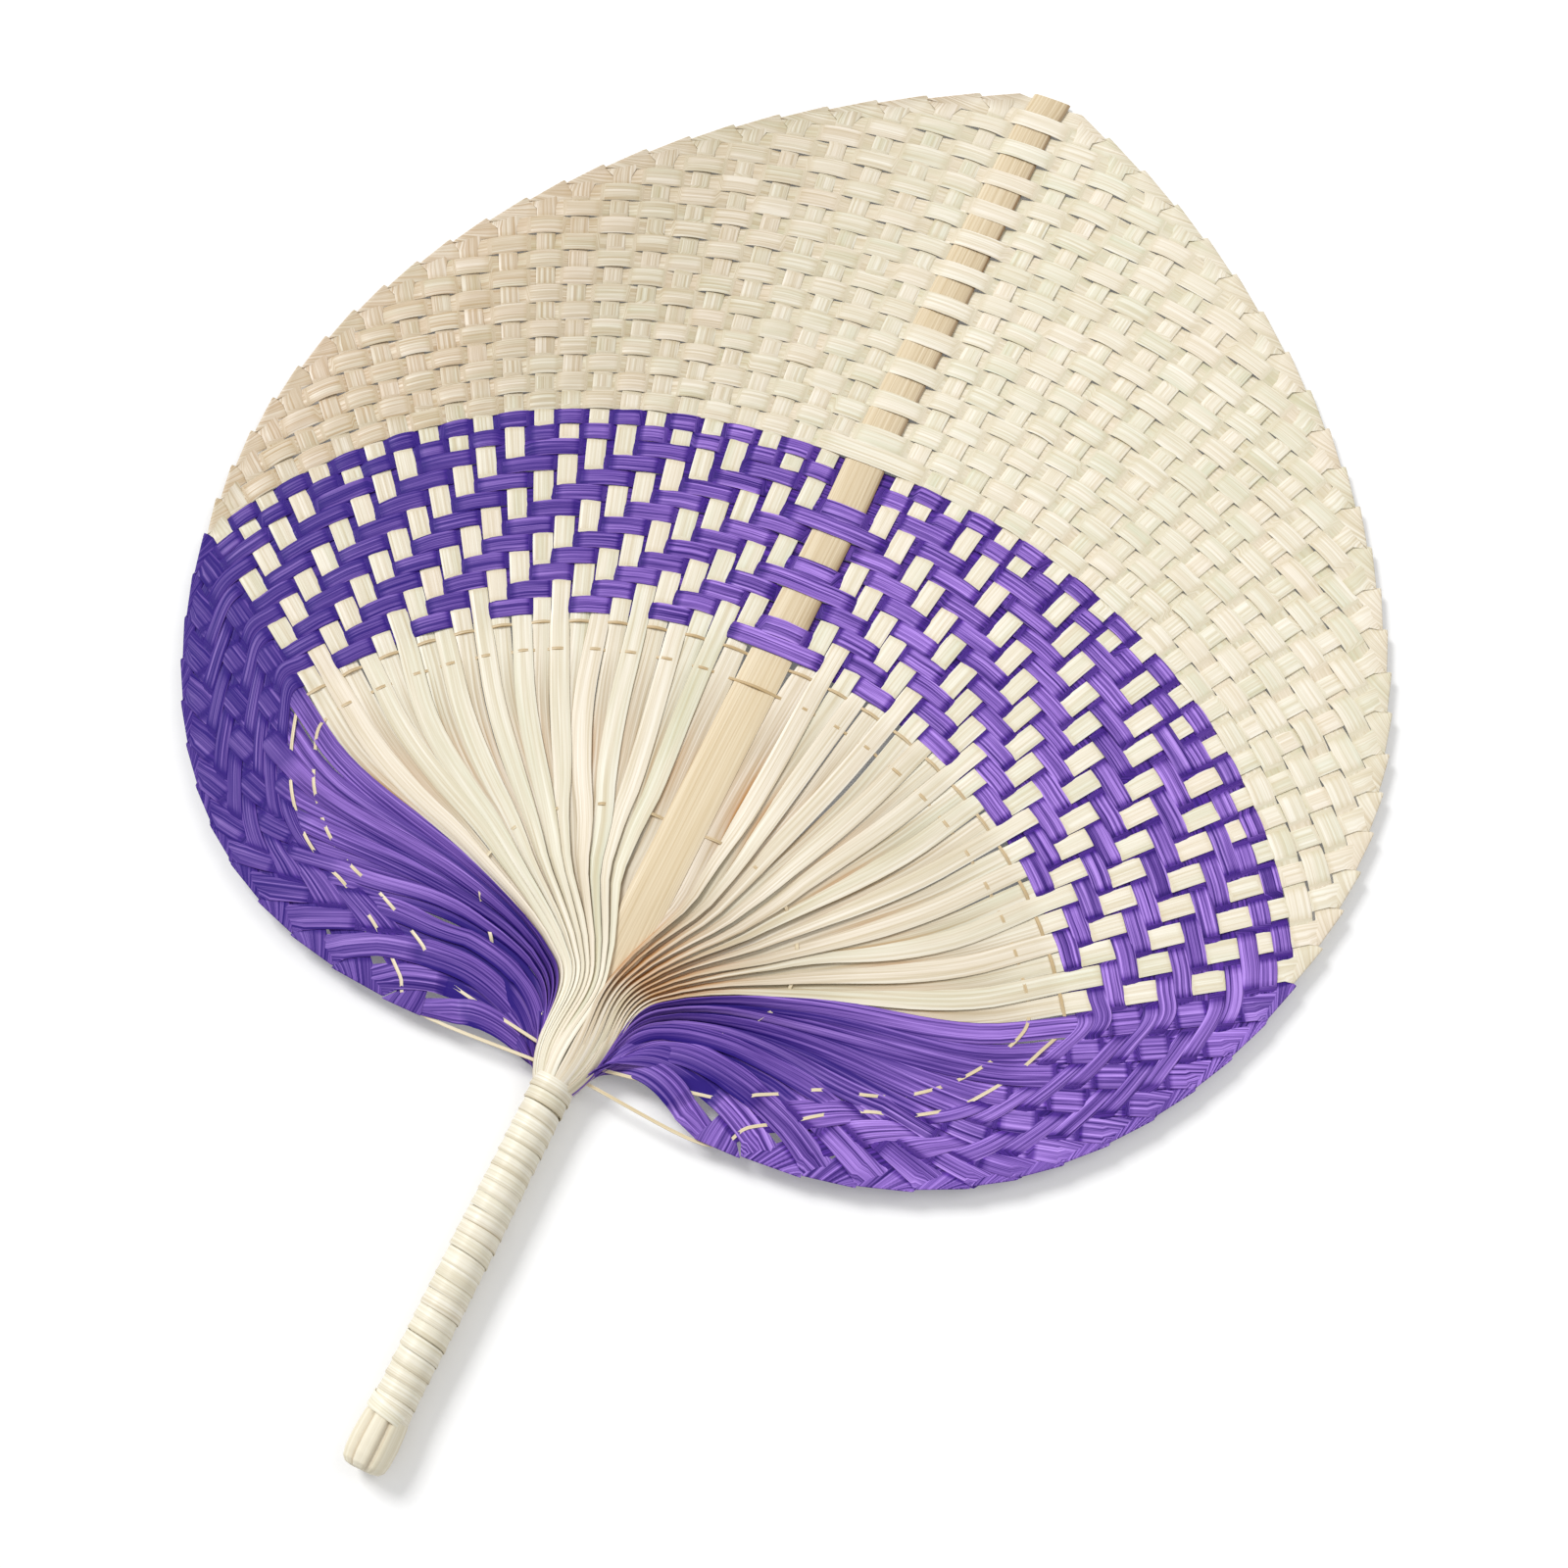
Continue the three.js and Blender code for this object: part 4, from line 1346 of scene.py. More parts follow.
@dataclass(frozen=True)
class BambooFinish:
    """Split bamboo: fine fibres, slow patches, a tone for each strip and float, painted highlights on raised
    tops, painted shade where fibres lie low, and stains with painted shade.

    Attributes:
        name: The material's name.
        base: The main colour.
        patch: The colour of the slow patches.
        warm: The colour of the warmer floats.
        fibre: The colour of the dark fibres, and of the painted shade where fibres lie low.
        stain_and_shade: The colour of stains and of painted shade.
        painted_highlight: The colour of the painted highlight on raised tops.
        deep: The colour of the strongest stains and painted shade, where it differs from the colour of
            stains.
        rough: The roughness.
        streak: How strongly the fibres show.
        grain: How strongly they stand up.
        coat: The weight of a clear coat.
        low_painted_shade: How much painted shade darkens fibres that lie low.
        rows: How fine the fibres are.
        highlight_strength: How strongly the painted highlight shows.
        gloss: The level of reflection.
        stain_shade_cover: How far stains and painted shade cover what lies under them.
    """

    name: str
    base: Colour
    patch: Colour
    warm: Colour
    fibre: Colour
    stain_and_shade: Colour
    painted_highlight: Colour
    deep: Optional[Colour] = None
    rough: float = 0.5
    streak: float = 0.5
    grain: float = 0.4
    coat: float = 0.08
    low_painted_shade: float = 0.5
    rows: float = 3.2
    highlight_strength: float = 1.0
    gloss: float = 0.32
    stain_shade_cover: float = 0.36

    def body(self, s: Shader, tone: bpy.types.Node, streak: Signal, patch: Signal) -> Signal:
        """The colour: patches, warm floats, fibres with painted shade where they lie low, painted highlights
        on raised tops, and stains with painted shade, each laid over the last.

        Args:
            s: The material's nodes.
            tone: The node that reads the tones.
            streak: How dark the fibre is, from 0 to 1.
            patch: How far a patch shows, from 0 to 1.

        Returns:
            The colour.
        """
        parts = s.node("ShaderNodeSeparateColor", None, Color=tone.outputs["Color"])
        own, run, stain_shade_level = (Signal(s, parts.outputs[i]) for i in range(3))
        raised = Signal(s, tone.outputs["Alpha"])
        body = s.blend(patch * (0.35 + 0.65 * run), linear(self.base), linear(self.patch))
        warmth = ((1.0 - run) * 0.9).above(start=0.25)
        body = s.blend(warmth * (0.4 + 0.6 * own), body, linear(self.warm))
        # Fibre streaks, with painted shade where the fibre lies low at the ends of floats.
        body = s.blend((streak + (1.0 - raised) * self.low_painted_shade) * self.streak, body, linear(self.fibre))
        # Painted highlight on the raised tops of floats and free splints.
        highlight_share = raised.above(start=0.4) * (1.0 - streak) ** 2.0 * self.highlight_strength
        body = s.blend(highlight_share, body, linear(self.painted_highlight))
        # Stains with painted shade in creases, on splints behind, on the left side, on folds and along
        # covered edges; the strongest take the deep colour.
        deep = linear(self.deep or self.stain_and_shade)
        dark = s.blend(stain_shade_level.above(start=0.625, gain=4.0), linear(self.stain_and_shade), deep)
        stain_shade_share = stain_shade_level * (self.stain_shade_cover + 0.45 * streak) + stain_shade_level.above(start=0.75) * 3.0
        return s.blend(stain_shade_share, body, dark)

    def material(self) -> bpy.types.Material:
        """Builds the finish.

        Returns:
            The material, which reads the fibre map and the tone attribute.
        """
        made = bpy.data.materials.new(self.name)
        s = Shader(made)
        fibre = s.signal("ShaderNodeUVMap", 0, {"uv_map": "fibre"})
        tone = s.node("ShaderNodeAttribute", {"attribute_name": "tone"})
        shift = s.scaled(Signal(s, tone.outputs["Color"]), CHANCE_SHIFT, (0.0, 0.0, 0.0))
        fine_scale = (FIBRE_SCALE[0], FIBRE_SCALE[1] * self.rows, 0.0)
        fine = s.noise(s.scaled(fibre, fine_scale, shift), detail=4.0, roughness=0.65)
        broad = s.noise(s.scaled(fibre, PATCH_SCALE, shift), detail=2.0, roughness=0.5)
        streak = fine.above(start=0.36, gain=3.2)
        patch = broad.above(start=0.34, gain=2.6)
        bump = s.signal("ShaderNodeBump", 0, None, Strength=self.grain, Distance=FIBRE_RELIEF, Height=fine)
        shader = s.node(
            "ShaderNodeBsdfPrincipled",
            None,
            Base_Color=self.body(s, tone, streak, patch),
            Roughness=self.rough + STREAK_ROUGHNESS * (streak - 0.5) + PATCH_ROUGHNESS * (patch - 0.5),
            Normal=bump,
            Coat_Weight=self.coat,
            Coat_Roughness=COAT_ROUGHNESS,
            Specular_IOR_Level=self.gloss,
        )
        s.node("ShaderNodeOutputMaterial", None, Surface=shader.outputs[0])
        return made


NATURAL = BambooFinish(
    name="natural_splint",
    base=(246, 240, 224),
    patch=(207, 210, 180),
    warm=(245, 229, 212),
    fibre=(204, 187, 150),
    stain_and_shade=(141, 105, 50),
    painted_highlight=(253, 250, 241),
    deep=(188, 127, 58),
    rough=0.48,
    streak=0.6,
    coat=0.06,
    low_painted_shade=0.45,
    rows=1.4,
    highlight_strength=0.75,
)
PURPLE = BambooFinish(
    name="purple_splint",
    base=(118, 68, 193),
    patch=(70, 34, 148),
    warm=(170, 122, 232),
    fibre=(40, 14, 100),
    stain_and_shade=(40, 16, 118),
    painted_highlight=(206, 166, 254),
    rough=0.52,
    streak=0.95,
    grain=0.6,
    coat=0.0,
    low_painted_shade=0.45,
    rows=1.5,
    highlight_strength=1.75,
    gloss=0.16,
    stain_shade_cover=0.88,
)
SPINE = BambooFinish(
    name="spine_plank",
    base=(229, 213, 182),
    patch=(220, 201, 165),
    warm=(233, 218, 190),
    fibre=(198, 171, 126),
    stain_and_shade=(122, 90, 54),
    painted_highlight=(240, 227, 203),
    streak=0.55,
    low_painted_shade=0.3,
    rows=1.8,
    stain_shade_cover=0.1,
)
CORE = BambooFinish(
    name="gathered_ends",
    base=(245, 240, 222),
    patch=(236, 230, 206),
    warm=(246, 237, 217),
    fibre=(216, 202, 166),
    stain_and_shade=(160, 128, 84),
    painted_highlight=(249, 243, 226),
    rough=0.55,
    streak=0.45,
    coat=0.0,
    low_painted_shade=0.4,
    rows=1.0,
)
BINDING = BambooFinish(
    name="binding_strip",
    base=(250, 246, 231),
    patch=(238, 234, 212),
    warm=(250, 243, 227),
    fibre=(212, 200, 166),
    stain_and_shade=(170, 148, 104),
    painted_highlight=(253, 250, 240),
    rough=0.48,
    rows=2.0,
)
STRAND = BambooFinish(
    name="fine_strand",
    base=(236, 224, 196),
    patch=(222, 206, 168),
    warm=(238, 222, 196),
    fibre=(196, 168, 118),
    stain_and_shade=(176, 144, 94),
    painted_highlight=(246, 238, 218),
    grain=0.3,
    coat=0.05,
)


@dataclass
class Bench:
    """Puts surfaces into the scene as pieces of the fan."""

    plan: LeafPlan
    sharp_angle: float = 48.0
    materials: Dict[str, bpy.types.Material] = field(default_factory=dict)

    def finish(self, finish: BambooFinish) -> bpy.types.Material:
        """Makes a finish once and keeps it."""
        if finish.name not in self.materials:
            self.materials[finish.name] = finish.material()
        return self.materials[finish.name]

    def piece(self, name: str, surface: Surface, finish: BambooFinish, slot: Slot, *nodes: str) -> None:
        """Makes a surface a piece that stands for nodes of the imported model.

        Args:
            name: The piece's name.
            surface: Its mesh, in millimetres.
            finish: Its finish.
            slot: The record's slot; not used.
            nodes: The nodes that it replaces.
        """
        mesh = bpy.data.meshes.new(name)
        count = len(surface.faces)
        mesh.vertices.add(len(surface.points))
        mesh.vertices.foreach_set("co", self.plan.seated(surface.points).astype(np.float32).ravel())
        mesh.loops.add(4 * count)
        mesh.loops.foreach_set("vertex_index", surface.faces.astype(np.int32).ravel())
        mesh.polygons.add(count)
        mesh.polygons.foreach_set("loop_start", np.arange(0, 4 * count, 4, dtype=np.int32))
        mesh.polygons.foreach_set("use_smooth", np.ones(count, dtype=bool))
        mesh.update(calc_edges=True)
        mesh.uv_layers.new(name="fibre")
        corners = surface.fibre[surface.faces.ravel()] / FIBRE_UNIT
        mesh.uv_layers["fibre"].uv.foreach_set("vector", corners.astype(np.float32).ravel())
        mesh.attributes.new("tone", "FLOAT_COLOR", "POINT")
        mesh.attributes["tone"].data.foreach_set("color", surface.tone.astype(np.float32).ravel())
        mesh.set_sharp_from_angle(angle=math.radians(self.sharp_angle))
        mesh.materials.append(self.finish(finish))
        made = bpy.data.objects.new(name, mesh)
        bpy.context.scene.collection.objects.link(made)
        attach(made, "root")
        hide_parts(*nodes)
        log.info("%s: %d faces, for %s", name, count, ", ".join(nodes))


@dataclass
class Weave:
    """The splints: each rises on the left, folds, crosses as a row, folds and falls on the right."""

    plan: LeafPlan
    thickness: float = 0.26

    def build(self, bench: Bench) -> None:
        """Builds every splint."""
        left = HalfLeaf(self.plan, LEFT)
        right = HalfLeaf(self.plan, RIGHT)
        for k in range(1, self.plan.count + 1):
            surface = Edges.chain([left.splint(k), right.splint(k).turned()]).ribbon(self.thickness)
            purple = k <= self.plan.purple_count
            node = f"purple_splint_{k:02d}" if purple else f"natural_splint_{k - self.plan.purple_count:02d}"
            finish, slot = (PURPLE, Slot.PURPLE) if purple else (NATURAL, Slot.NATURAL)
            bench.piece("woven_" + node, surface, finish, slot, node)


@dataclass
class Spine:
    """The flat plank up the middle, whose foot goes in behind the gathered splints."""

    plan: LeafPlan
    thickness: float = 0.8
    crown: float = 0.16

    # The foot: its place, half its width, the length over which it widens and how far back it lies.
    foot: float = 4.0
    foot_half: float = 3.2
    foot_length: float = 16.0
    foot_back: float = 0.55
    back_until: float = 50.0
    back_length: float = 24.0

    # How far its edges wander, and how far and where the woven part lies to the left.
    wandering: float = 0.08
    left_shift: float = 1.1
    shift_from: float = 150.0
    shift_length: float = 40.0
    tip_length: float = 12.0

    # The stains of the foot and the painted shadow along the woven part's right edge, and where they lie.
    foot_stain: float = 0.35
    foot_stain_until: float = 60.0
    foot_stain_length: float = 45.0
    edge_painted_shadow: float = 0.95
    edge_shadow_from: float = 108.0
    edge_shadow_length: float = 16.0

    def build(self, bench: Bench) -> None:
        """Builds the plank: it widens as an eased step above the foot, and the foot lies a little back."""
        tip = self.plan.leaf_length
        y = np.concatenate([np.linspace(self.foot, 60.0, 30), np.linspace(64.0, tip, 60)])
        half = between(self.foot_half, self.plan.spine_half_width, eased((y - self.foot) / self.foot_length))
        half = half + self.wandering * wander(y * 0.05, seed=2.0)
        z = -self.foot_back * eased((self.back_until - y) / self.back_length)
        middle = -self.left_shift * eased((y - self.shift_from) / self.shift_length)
        middle = middle * eased((tip - y) / self.tip_length)
        a = np.column_stack([middle - half, y, z])
        b = np.column_stack([middle + half, y, z])
        # Painted shadow along the woven part's right edge, where floats step down off the spine.
        edge = eased((y - self.edge_shadow_from) / self.edge_shadow_length)
        foot = self.foot_stain * eased((self.foot_stain_until - y) / self.foot_stain_length)
        stain_and_shade = between(foot, self.edge_painted_shadow, edge)
        strip = Edges.even(a, b, -self.crown, tones(len(y), 0.5, 0.6, stain_and_shade, 0.7), edge)
        bench.piece("spine_plank", strip.ribbon(self.thickness), SPINE, Slot.SPINE, "spine")


class Ring(Enum):
    """The three fine strands, named from the weave inwards."""

    OUTER = "strand_outer"
    MIDDLE = "strand_middle"
    INNER = "strand_inner"


@dataclass(frozen=True)
class Course:
    """The course of one strand.

    Attributes:
        lowest: The lowest splint that it passes.
        beat: It passes over one splint in so many.
        over: The remainder of the splints' numbers that it passes over.
        spine_side: 1 where it passes over the spine and -1 where it passes under.
        end: Its end beside the neck, for the right side.
    """

    lowest: int
    beat: int
    over: int
    spine_side: float
    end: Pair


COURSES = {
    Ring.OUTER: Course(lowest=1, beat=2, over=0, spine_side=-1.0, end=(4.4, -2.4)),
    Ring.MIDDLE: Course(lowest=2, beat=2, over=1, spine_side=1.0, end=(4.2, 1.0)),
    Ring.INNER: Course(lowest=4, beat=5, over=1, spine_side=-1.0, end=(4.4, 5.5)),
}


@dataclass
class Strands:
    """Fine strands that pass over and under the free splints, from one side of the neck to the other."""

    plan: LeafPlan
    width: float = 0.8
    thickness: float = 0.5
    crown: float = 0.1
    lift: float = 0.45
    lift_chance: float = 0.1
    natural_drop: float = 0.05
    spine_lift: float = 0.95

    # Distances inside the weave's start, and how far the lowest splints carry the strands out again.
    inset: float = 2.4
    lobe_inset: float = 3.2
    outer_gain: float = 6.5
    middle_gain: float = 3.0

    # Distances from the neck, and how the innermost strand closes in on it.
    middle_radius: float = 102.8
    inner_radius: float = 62.4
    inner_fall: float = 0.28
    inner_lobe: float = 0.72
    inner_end: float = 1.15

    # The stain, which starts above the neck, and samples between splints.
    stain_and_shade: float = 0.8
    stain_from: float = 40.0
    stain_shade_length: float = 20.0
    steps: int = 7

    def reach(self, ring: Ring, half: HalfLeaf, k: Array) -> Array:
        """A strand's distance from the neck on each splint.

        Args:
            ring: Which strand.
            half: The side of the leaf.
            k: Splint numbers.

        Returns:
            The distances.
        """
        p = self.plan
        purple = half.purple(k)
        up_lobe = (k - 1) / (p.purple_count - 1)
        if ring is Ring.OUTER:
            lobe = between(self.outer_gain, -self.lobe_inset, up_lobe)
            return half.inner_radius(k) + np.where(purple, lobe, -self.inset)
        if ring is Ring.MIDDLE:
            lobe = between(self.middle_gain, -self.inset, up_lobe)
            return self.middle_radius / p.band_inner * half.inner_radius(k) + np.where(purple, lobe, 0.0)
        lowest = COURSES[ring].lowest
        down = (p.count + 1 - k) / (p.natural_count + 1)
        upper = self.inner_radius * (1 - self.inner_fall * down**2)
        share = (k - lowest) / (p.purple_count - lowest)
        lower = between(self.inner_end * p.neck_reach, self.inner_lobe * self.inner_radius, share)
        return np.where(purple, lower, upper)

    def half_path(self, ring: Ring, hand: float) -> Array:
        """One side's points, from the spine to the neck, over and under the splints by turns.

        Args:
            ring: Which strand.
            hand: The side of the leaf.

        Returns:
            The points, one to a row.
        """
        p = self.plan
        course = COURSES[ring]
        half = HalfLeaf(p, hand)
        k = np.arange(p.count, course.lowest - 1, -1)
        r = self.reach(ring, half, k)
        side = np.where(k % course.beat == course.over, 1.0, -1.0)
        z = side * (self.lift + self.lift_chance * scatter(k, hand))
        z = z - np.where(half.purple(k), 0.0, self.natural_drop)
        top = np.array([[0.0, float(r[0]), course.spine_side * self.spine_lift]])
        tail = np.array([[hand * course.end[0], course.end[1], 0.0]])
        return np.vstack([top, half.in_space(half.centre(k, r), z), tail])

    def build(self, bench: Bench) -> None:
        """Builds the three strands: a flat oval carried along a smooth curve."""
        for ring in Ring:
            left = self.half_path(ring, LEFT)
            right = self.half_path(ring, RIGHT)
            path = spline(np.vstack([left[::-1], right[1:]]), self.steps)
            way = unit(np.gradient(path, axis=0))
            out = unit(np.cross(way, np.array([0.0, 0.0, 1.0]))) * self.width / 2
            stain_and_shade = self.stain_and_shade * eased((path[:, 1] - self.stain_from) / self.stain_shade_length)
            strip = Edges.even(path - out, path + out, self.crown, tones(len(path), 0.4, 0.7, stain_and_shade, 0.8))
            bench.piece("woven_" + ring.value, strip.ribbon(self.thickness), STRAND, Slot.STRAND, ring.value)


@dataclass
class Handle:
    """The gathered ends, their rounded butt, and the strip that binds them.

    Attributes:
        butt: Rings from the handle's end: the distance from it, half the width and half the depth.
        stem: Rings further up: the place along the handle, half the width and half the depth.
        grooves: Where the butt is grooved, in radians from the front.
    """

    plan: LeafPlan
    butt: Tuple[Triple, ...] = (
        (0.0, 2.6, 2.2),
        (0.3, 3.9, 3.5),
        (1.2, 4.8, 4.4),
        (3.0, 5.2, 4.85),
        (6.0, 5.3, 5.05),
    )
    stem: Tuple[Triple, ...] = (
        (-86.0, 5.15, 5.0),
        (-84.0, 4.95, 4.9),
        (-82.0, 4.3, 4.3),
        (-60.0, 4.1, 4.1),
        (-30.0, 4.1, 4.1),
        (-8.0, 4.1, 4.1),
        (-2.0, 4.0, 3.5),
        (4.0, 4.0, 2.2),
        (9.0, 4.2, 1.2),
        (14.0, 4.4, 0.6),
        (18.0, 4.6, 0.2),
    )
    grooves: Tuple[float, ...] = (0.42, -0.48, 2.6, -2.6)
    groove_width: float = 0.1
    groove_depth: float = 0.17
    groove_top: float = -81.5
    ring_points: int = 64
    ring_steps: int = 6
    neck_back: float = 0.5

    # The binding strip, wound from the neck to the butt.
    turns: float = 24.0
    turn_sections: int = 44
    strip_width: float = 3.28
    strip_thickness: float = 0.42
    strip_crown: float = 0.14
    strip_radius: float = 4.62
    upper_edge: float = 0.1
    lower_edge: float = 0.15
    pitch_wander: float = 0.3
    width_share: float = 1.04
    width_wander: float = 0.1
    fast_wander: float = 0.12
    slow_wander: float = 0.16
    neck_swell: float = 0.35
    end_dive: float = 0.5
    # The painted shadow along each turn's lower edge, where it laps the next turn, and how much it wanders.
    turn_edge_shadow: float = 0.6
    edge_shadow_wander: float = 0.35
    binding_top: float = -3.4
    binding_end: float = -84.4

    # The tuck: its start and end as an angle, a place along the handle and half a width, and its heights.
    tuck_turn: Pair = (-1.9, 1.1)
    tuck_place: Pair = (-80.6, -83.6)
    tuck_half: Pair = (1.7, 1.3)
    tuck_radius: float = 4.55
    tuck_rise: float = 0.55
    tuck_thickness: float = 0.4

    def core(self) -> Surface:
        """The gathered ends: oval rings, grooved at the butt and thinned to a wedge in the neck.

        Returns:
            The closed surface.
        """
        butt = np.array(self.butt) - np.array([self.plan.handle_length, 0.0, 0.0])
        rings = np.vstack([butt, np.array(self.stem)])
        fine = np.linspace(0.0, len(rings) - 1.0, self.ring_steps * (len(rings) - 1) + 1)
        y, wide, deep = (np.interp(fine, np.arange(len(rings)), rings[:, i]) for i in range(3))
        turn = np.linspace(0.0, 2 * np.pi, self.ring_points + 1)[:-1]
        apart = turn[None, :] - np.array(self.grooves)[:, None]
        away = ((apart + np.pi) % (2 * np.pi) - np.pi) / self.groove_width
        cut = eased((self.groove_top - y) / 3.0)[:, None] * np.exp(-(away**2)).sum(axis=0)[None, :]
        shape = 1 - self.groove_depth * cut
        x = wide[:, None] * np.sin(turn)[None, :] * shape
        z = deep[:, None] * np.cos(turn)[None, :] * shape - self.neck_back * eased((y - 2.0) / 8.0)[:, None]
        points = np.stack([x, np.broadcast_to(y[:, None], x.shape), z], axis=-1).reshape(-1, 3)
        length, around = np.broadcast_arrays(y[:, None], 4.5 * turn[None, :])
        fibre = np.stack([length, around], axis=-1).reshape(-1, 2)
        # Painted shade in the butt's grooves, over a faint even darkening.
        tone = tones(len(points), 0.5, 0.5, clamped(0.1 + 0.6 * cut).ravel(), 0.7)
        return Surface(points, outward(points, tube_faces(len(y), len(turn))), fibre, tone)

    def binding(self) -> Surface:
        """The strip wound round the handle: a helix that leans a little and wanders in width and pitch, with
        painted shadow along each turn's lower edge.

        Returns:
            The closed strip.
        """
        turn = np.linspace(0.0, 2 * np.pi * self.turns, int(self.turn_sections * self.turns) + 1)
        half_width = self.strip_width / 2
        y = between(self.binding_top - half_width, self.binding_end + half_width, turn / turn[-1])
        y = y + self.pitch_wander * wander(turn * 0.29, seed=3.0)
        half = half_width * (self.width_share + self.width_wander * wander(turn * 0.13, seed=5.0))
        radius = self.strip_radius + self.fast_wander * wander(turn * 0.11, seed=8.0)
        radius = radius + self.slow_wander * wander(turn * 0.04, seed=3.0)
        radius = radius + self.neck_swell * eased((y + 14.0) / 12.0)
        radius = radius - self.end_dive * eased((turn - turn[-1] + 1.2) / 1.2)
        radius = radius - self.end_dive * eased(1 - turn / 0.9)
        upper = radius - self.upper_edge
        lower = radius + self.lower_edge
        a = np.column_stack([-upper * np.sin(turn), y + half, -upper * np.cos(turn)])
        b = np.column_stack([-lower * np.sin(turn), y - half, -lower * np.cos(turn)])
        run = 0.5 + 0.5 * scatter(np.floor(turn / (2 * np.pi)), Draw.TURN)
        # Painted shadow along each turn's lower edge.
        stain_and_shade = self.turn_edge_shadow + self.edge_shadow_wander * wander(turn * 0.21, seed=11.0)
        tone = tones(len(turn), 0.5, run, stain_and_shade, 0.75)
        return Edges.even(a, b, self.strip_crown, tone, 1.0).ribbon(self.strip_thickness)

    def tuck(self) -> Surface:
        """The strip's end: a last turn that lies slantwise over the front and dives under at the right.

        Returns:
            The closed strip.
        """
        s = np.linspace(0.0, 1.0, 37)
        turn, y, half = (between(*pair, s) for pair in (self.tuck_turn, self.tuck_place, self.tuck_half))
        radius = self.tuck_radius + self.tuck_rise * np.sin(np.pi * clamped(0.06 + 0.94 * s)) ** 0.6
        tilt = 0.1 * np.sin(np.pi * s)
        a = np.column_stack([(radius - tilt) * np.sin(turn), y + half, (radius - tilt) * np.cos(turn)])
        b = np.column_stack([(radius + tilt) * np.sin(turn), y - half, (radius + tilt) * np.cos(turn)])
        tone = tones(len(s), 0.5, 0.75, 0.0, 0.75)
        return Edges.even(a, b, self.strip_crown, tone).ribbon(self.tuck_thickness)

    def build(self, bench: Bench) -> None:
        """Builds the gathered ends and the binding."""
        bench.piece("gathered_ends", self.core(), CORE, Slot.BUNDLE, "neck_bundle")
        bench.piece("wound_binding", self.binding(), BINDING, Slot.BINDING, "handle_binding")
        bench.piece("binding_tuck", self.tuck(), BINDING, Slot.BINDING, "handle_binding")


@dataclass(frozen=True)
class Lamp:
    """A square soft lamp that faces the fan.

    Attributes:
        name: The lamp's name.
        place: Where it hangs, in metres.
        power: Its power in watts.
        size: The length of its side in metres.
    """

    name: str
    place: Triple
    power: float
    size: float

    def hang(self) -> None:
        """Hangs the lamp."""
        data = bpy.data.lights.new(self.name, "AREA")
        data.energy = self.power
        data.size = self.size
        made = bpy.data.objects.new(self.name, data)
        made.location = self.place
        made.rotation_euler = (-Vector(self.place)).to_track_quat("-Z", "Y").to_euler()
        bpy.context.scene.collection.objects.link(made)


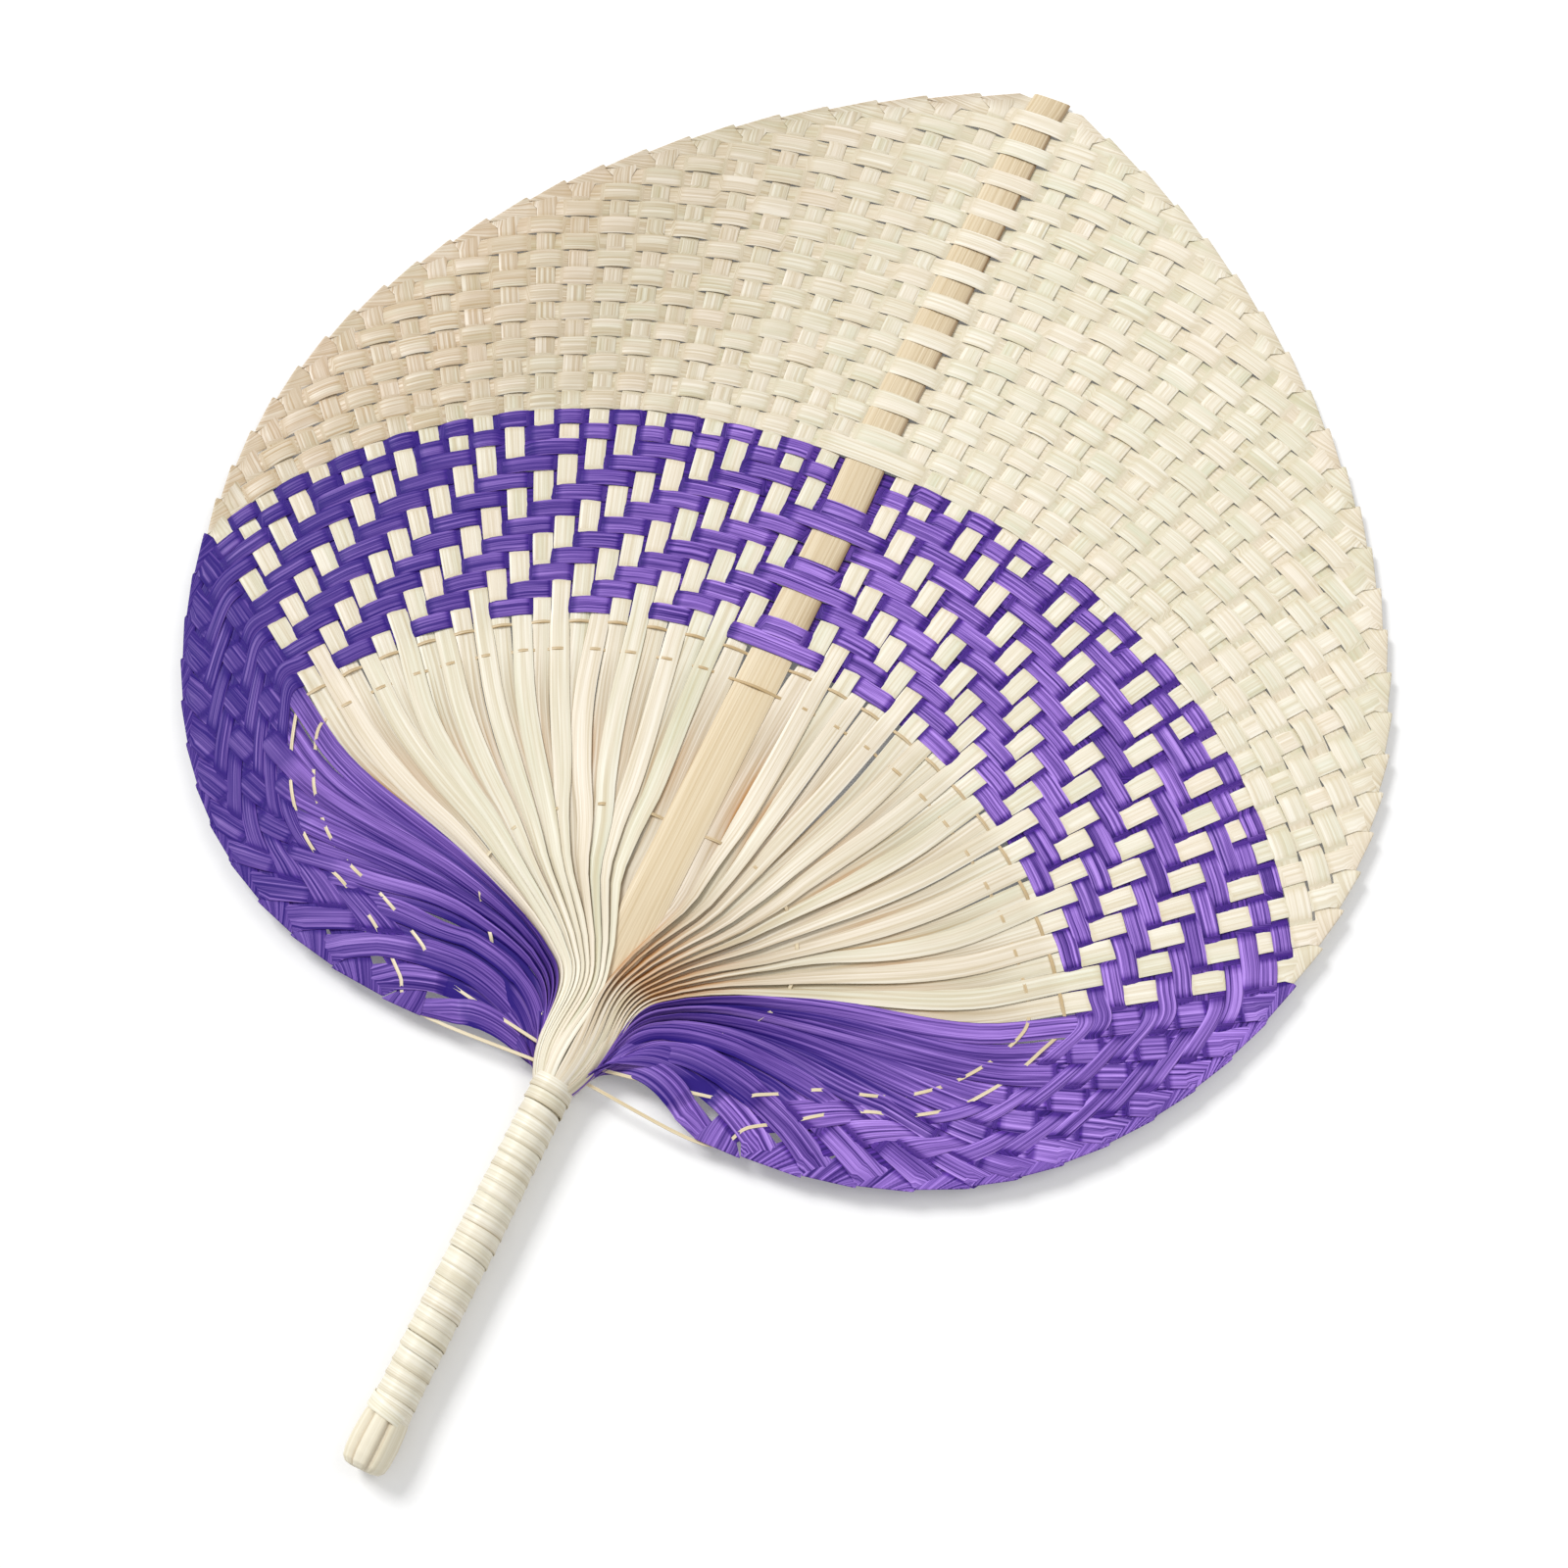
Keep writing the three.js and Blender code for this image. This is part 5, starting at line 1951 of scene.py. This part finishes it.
@dataclass
class Studio:
    """The floor, the soft lamps and the camera, in metres."""

    lens: float = 45.0
    sensor: float = 36.0
    clip_start: float = 0.01
    eye: Triple = (0.0908, -0.1875, 0.436)
    right: Triple = (0.9125, 0.4091, 0.0)
    up: Triple = (-0.3775, 0.8418, 0.3859)
    floor_size: float = 3.0
    floor_level: float = -0.0002
    floor_colour: Colour = (225, 224, 222)
    sky: float = 0.528
    glow: float = 0.12
    lamps: Tuple[Lamp, ...] = (
        Lamp("key_lamp", (-2.5, 0.9, 2.9), 97.0, 1.3),
        Lamp("fill_lamp", (0.5, 0.2, 0.9), 1.8, 0.5),
    )

    def camera(self) -> None:
        """Stands the camera so that its right and up are the photograph's."""
        data = bpy.data.cameras.new("photo_view")
        data.lens = self.lens
        data.sensor_width = self.sensor
        data.clip_start = self.clip_start
        made = bpy.data.objects.new("photo_view", data)
        right = Vector(self.right).normalized()
        up = Vector(self.up)
        up = (up - right * up.dot(right)).normalized()
        back = right.cross(up)
        turn = Matrix((right, up, back)).transposed().to_4x4()
        made.matrix_world = Matrix.Translation(Vector(self.eye)) @ turn
        bpy.context.scene.collection.objects.link(made)
        bpy.context.scene.camera = made

    def floor(self) -> None:
        """Lays a plain white floor that keeps the fan's shadow."""
        s = self.floor_size / 2
        corners = np.array([[-s, -s], [s, -s], [s, s], [-s, s]])
        points = np.column_stack([corners, np.full(4, self.floor_level)])
        mesh = bpy.data.meshes.new("floor")
        mesh.from_pydata(points.tolist(), [], [(0, 1, 2, 3)])
        material = bpy.data.materials.new("floor_white")
        shader = Shader(material)
        seen = shader.seen()
        body = shader.blend(seen, linear(self.floor_colour), WHITE)
        lit = shader.node("ShaderNodeBsdfDiffuse", None, Color=body)
        glow = shader.node("ShaderNodeEmission", None, Color=WHITE, Strength=1.0)
        share = seen * self.glow
        both = shader.node("ShaderNodeMixShader", None, in0=share, in1=lit.outputs[0], in2=glow.outputs[0])
        shader.node("ShaderNodeOutputMaterial", None, Surface=both.outputs[0])
        mesh.materials.append(material)
        made = bpy.data.objects.new("floor", mesh)
        bpy.context.scene.collection.objects.link(made)

    def sky_light(self) -> None:
        """Fills the room with even white light, seen as white where the floor ends."""
        world = bpy.data.worlds.new("soft_room")
        shader = Shader(world)
        strength = self.sky + (1.0 - self.sky) * shader.seen()
        background = shader.node("ShaderNodeBackground", None, Color=WHITE, Strength=strength)
        shader.node("ShaderNodeOutputWorld", None, Surface=background.outputs[0])
        bpy.context.scene.world = world

    def build(self) -> None:
        """Sets up the floor, light and camera."""
        bpy.context.scene.view_settings.view_transform = "Standard"
        self.camera()
        self.floor()
        self.sky_light()
        for lamp in self.lamps:
            lamp.hang()


def main() -> None:
    """Builds the studio and every sub-assembly."""
    logging.basicConfig(level=logging.INFO, format="%(name)s: %(message)s")
    plan = LeafPlan()
    bench = Bench(plan)
    Studio().build()
    Weave(plan).build(bench)
    Spine(plan).build(bench)
    Strands(plan).build(bench)
    Handle(plan).build(bench)


if __name__ == "__main__":
    main()
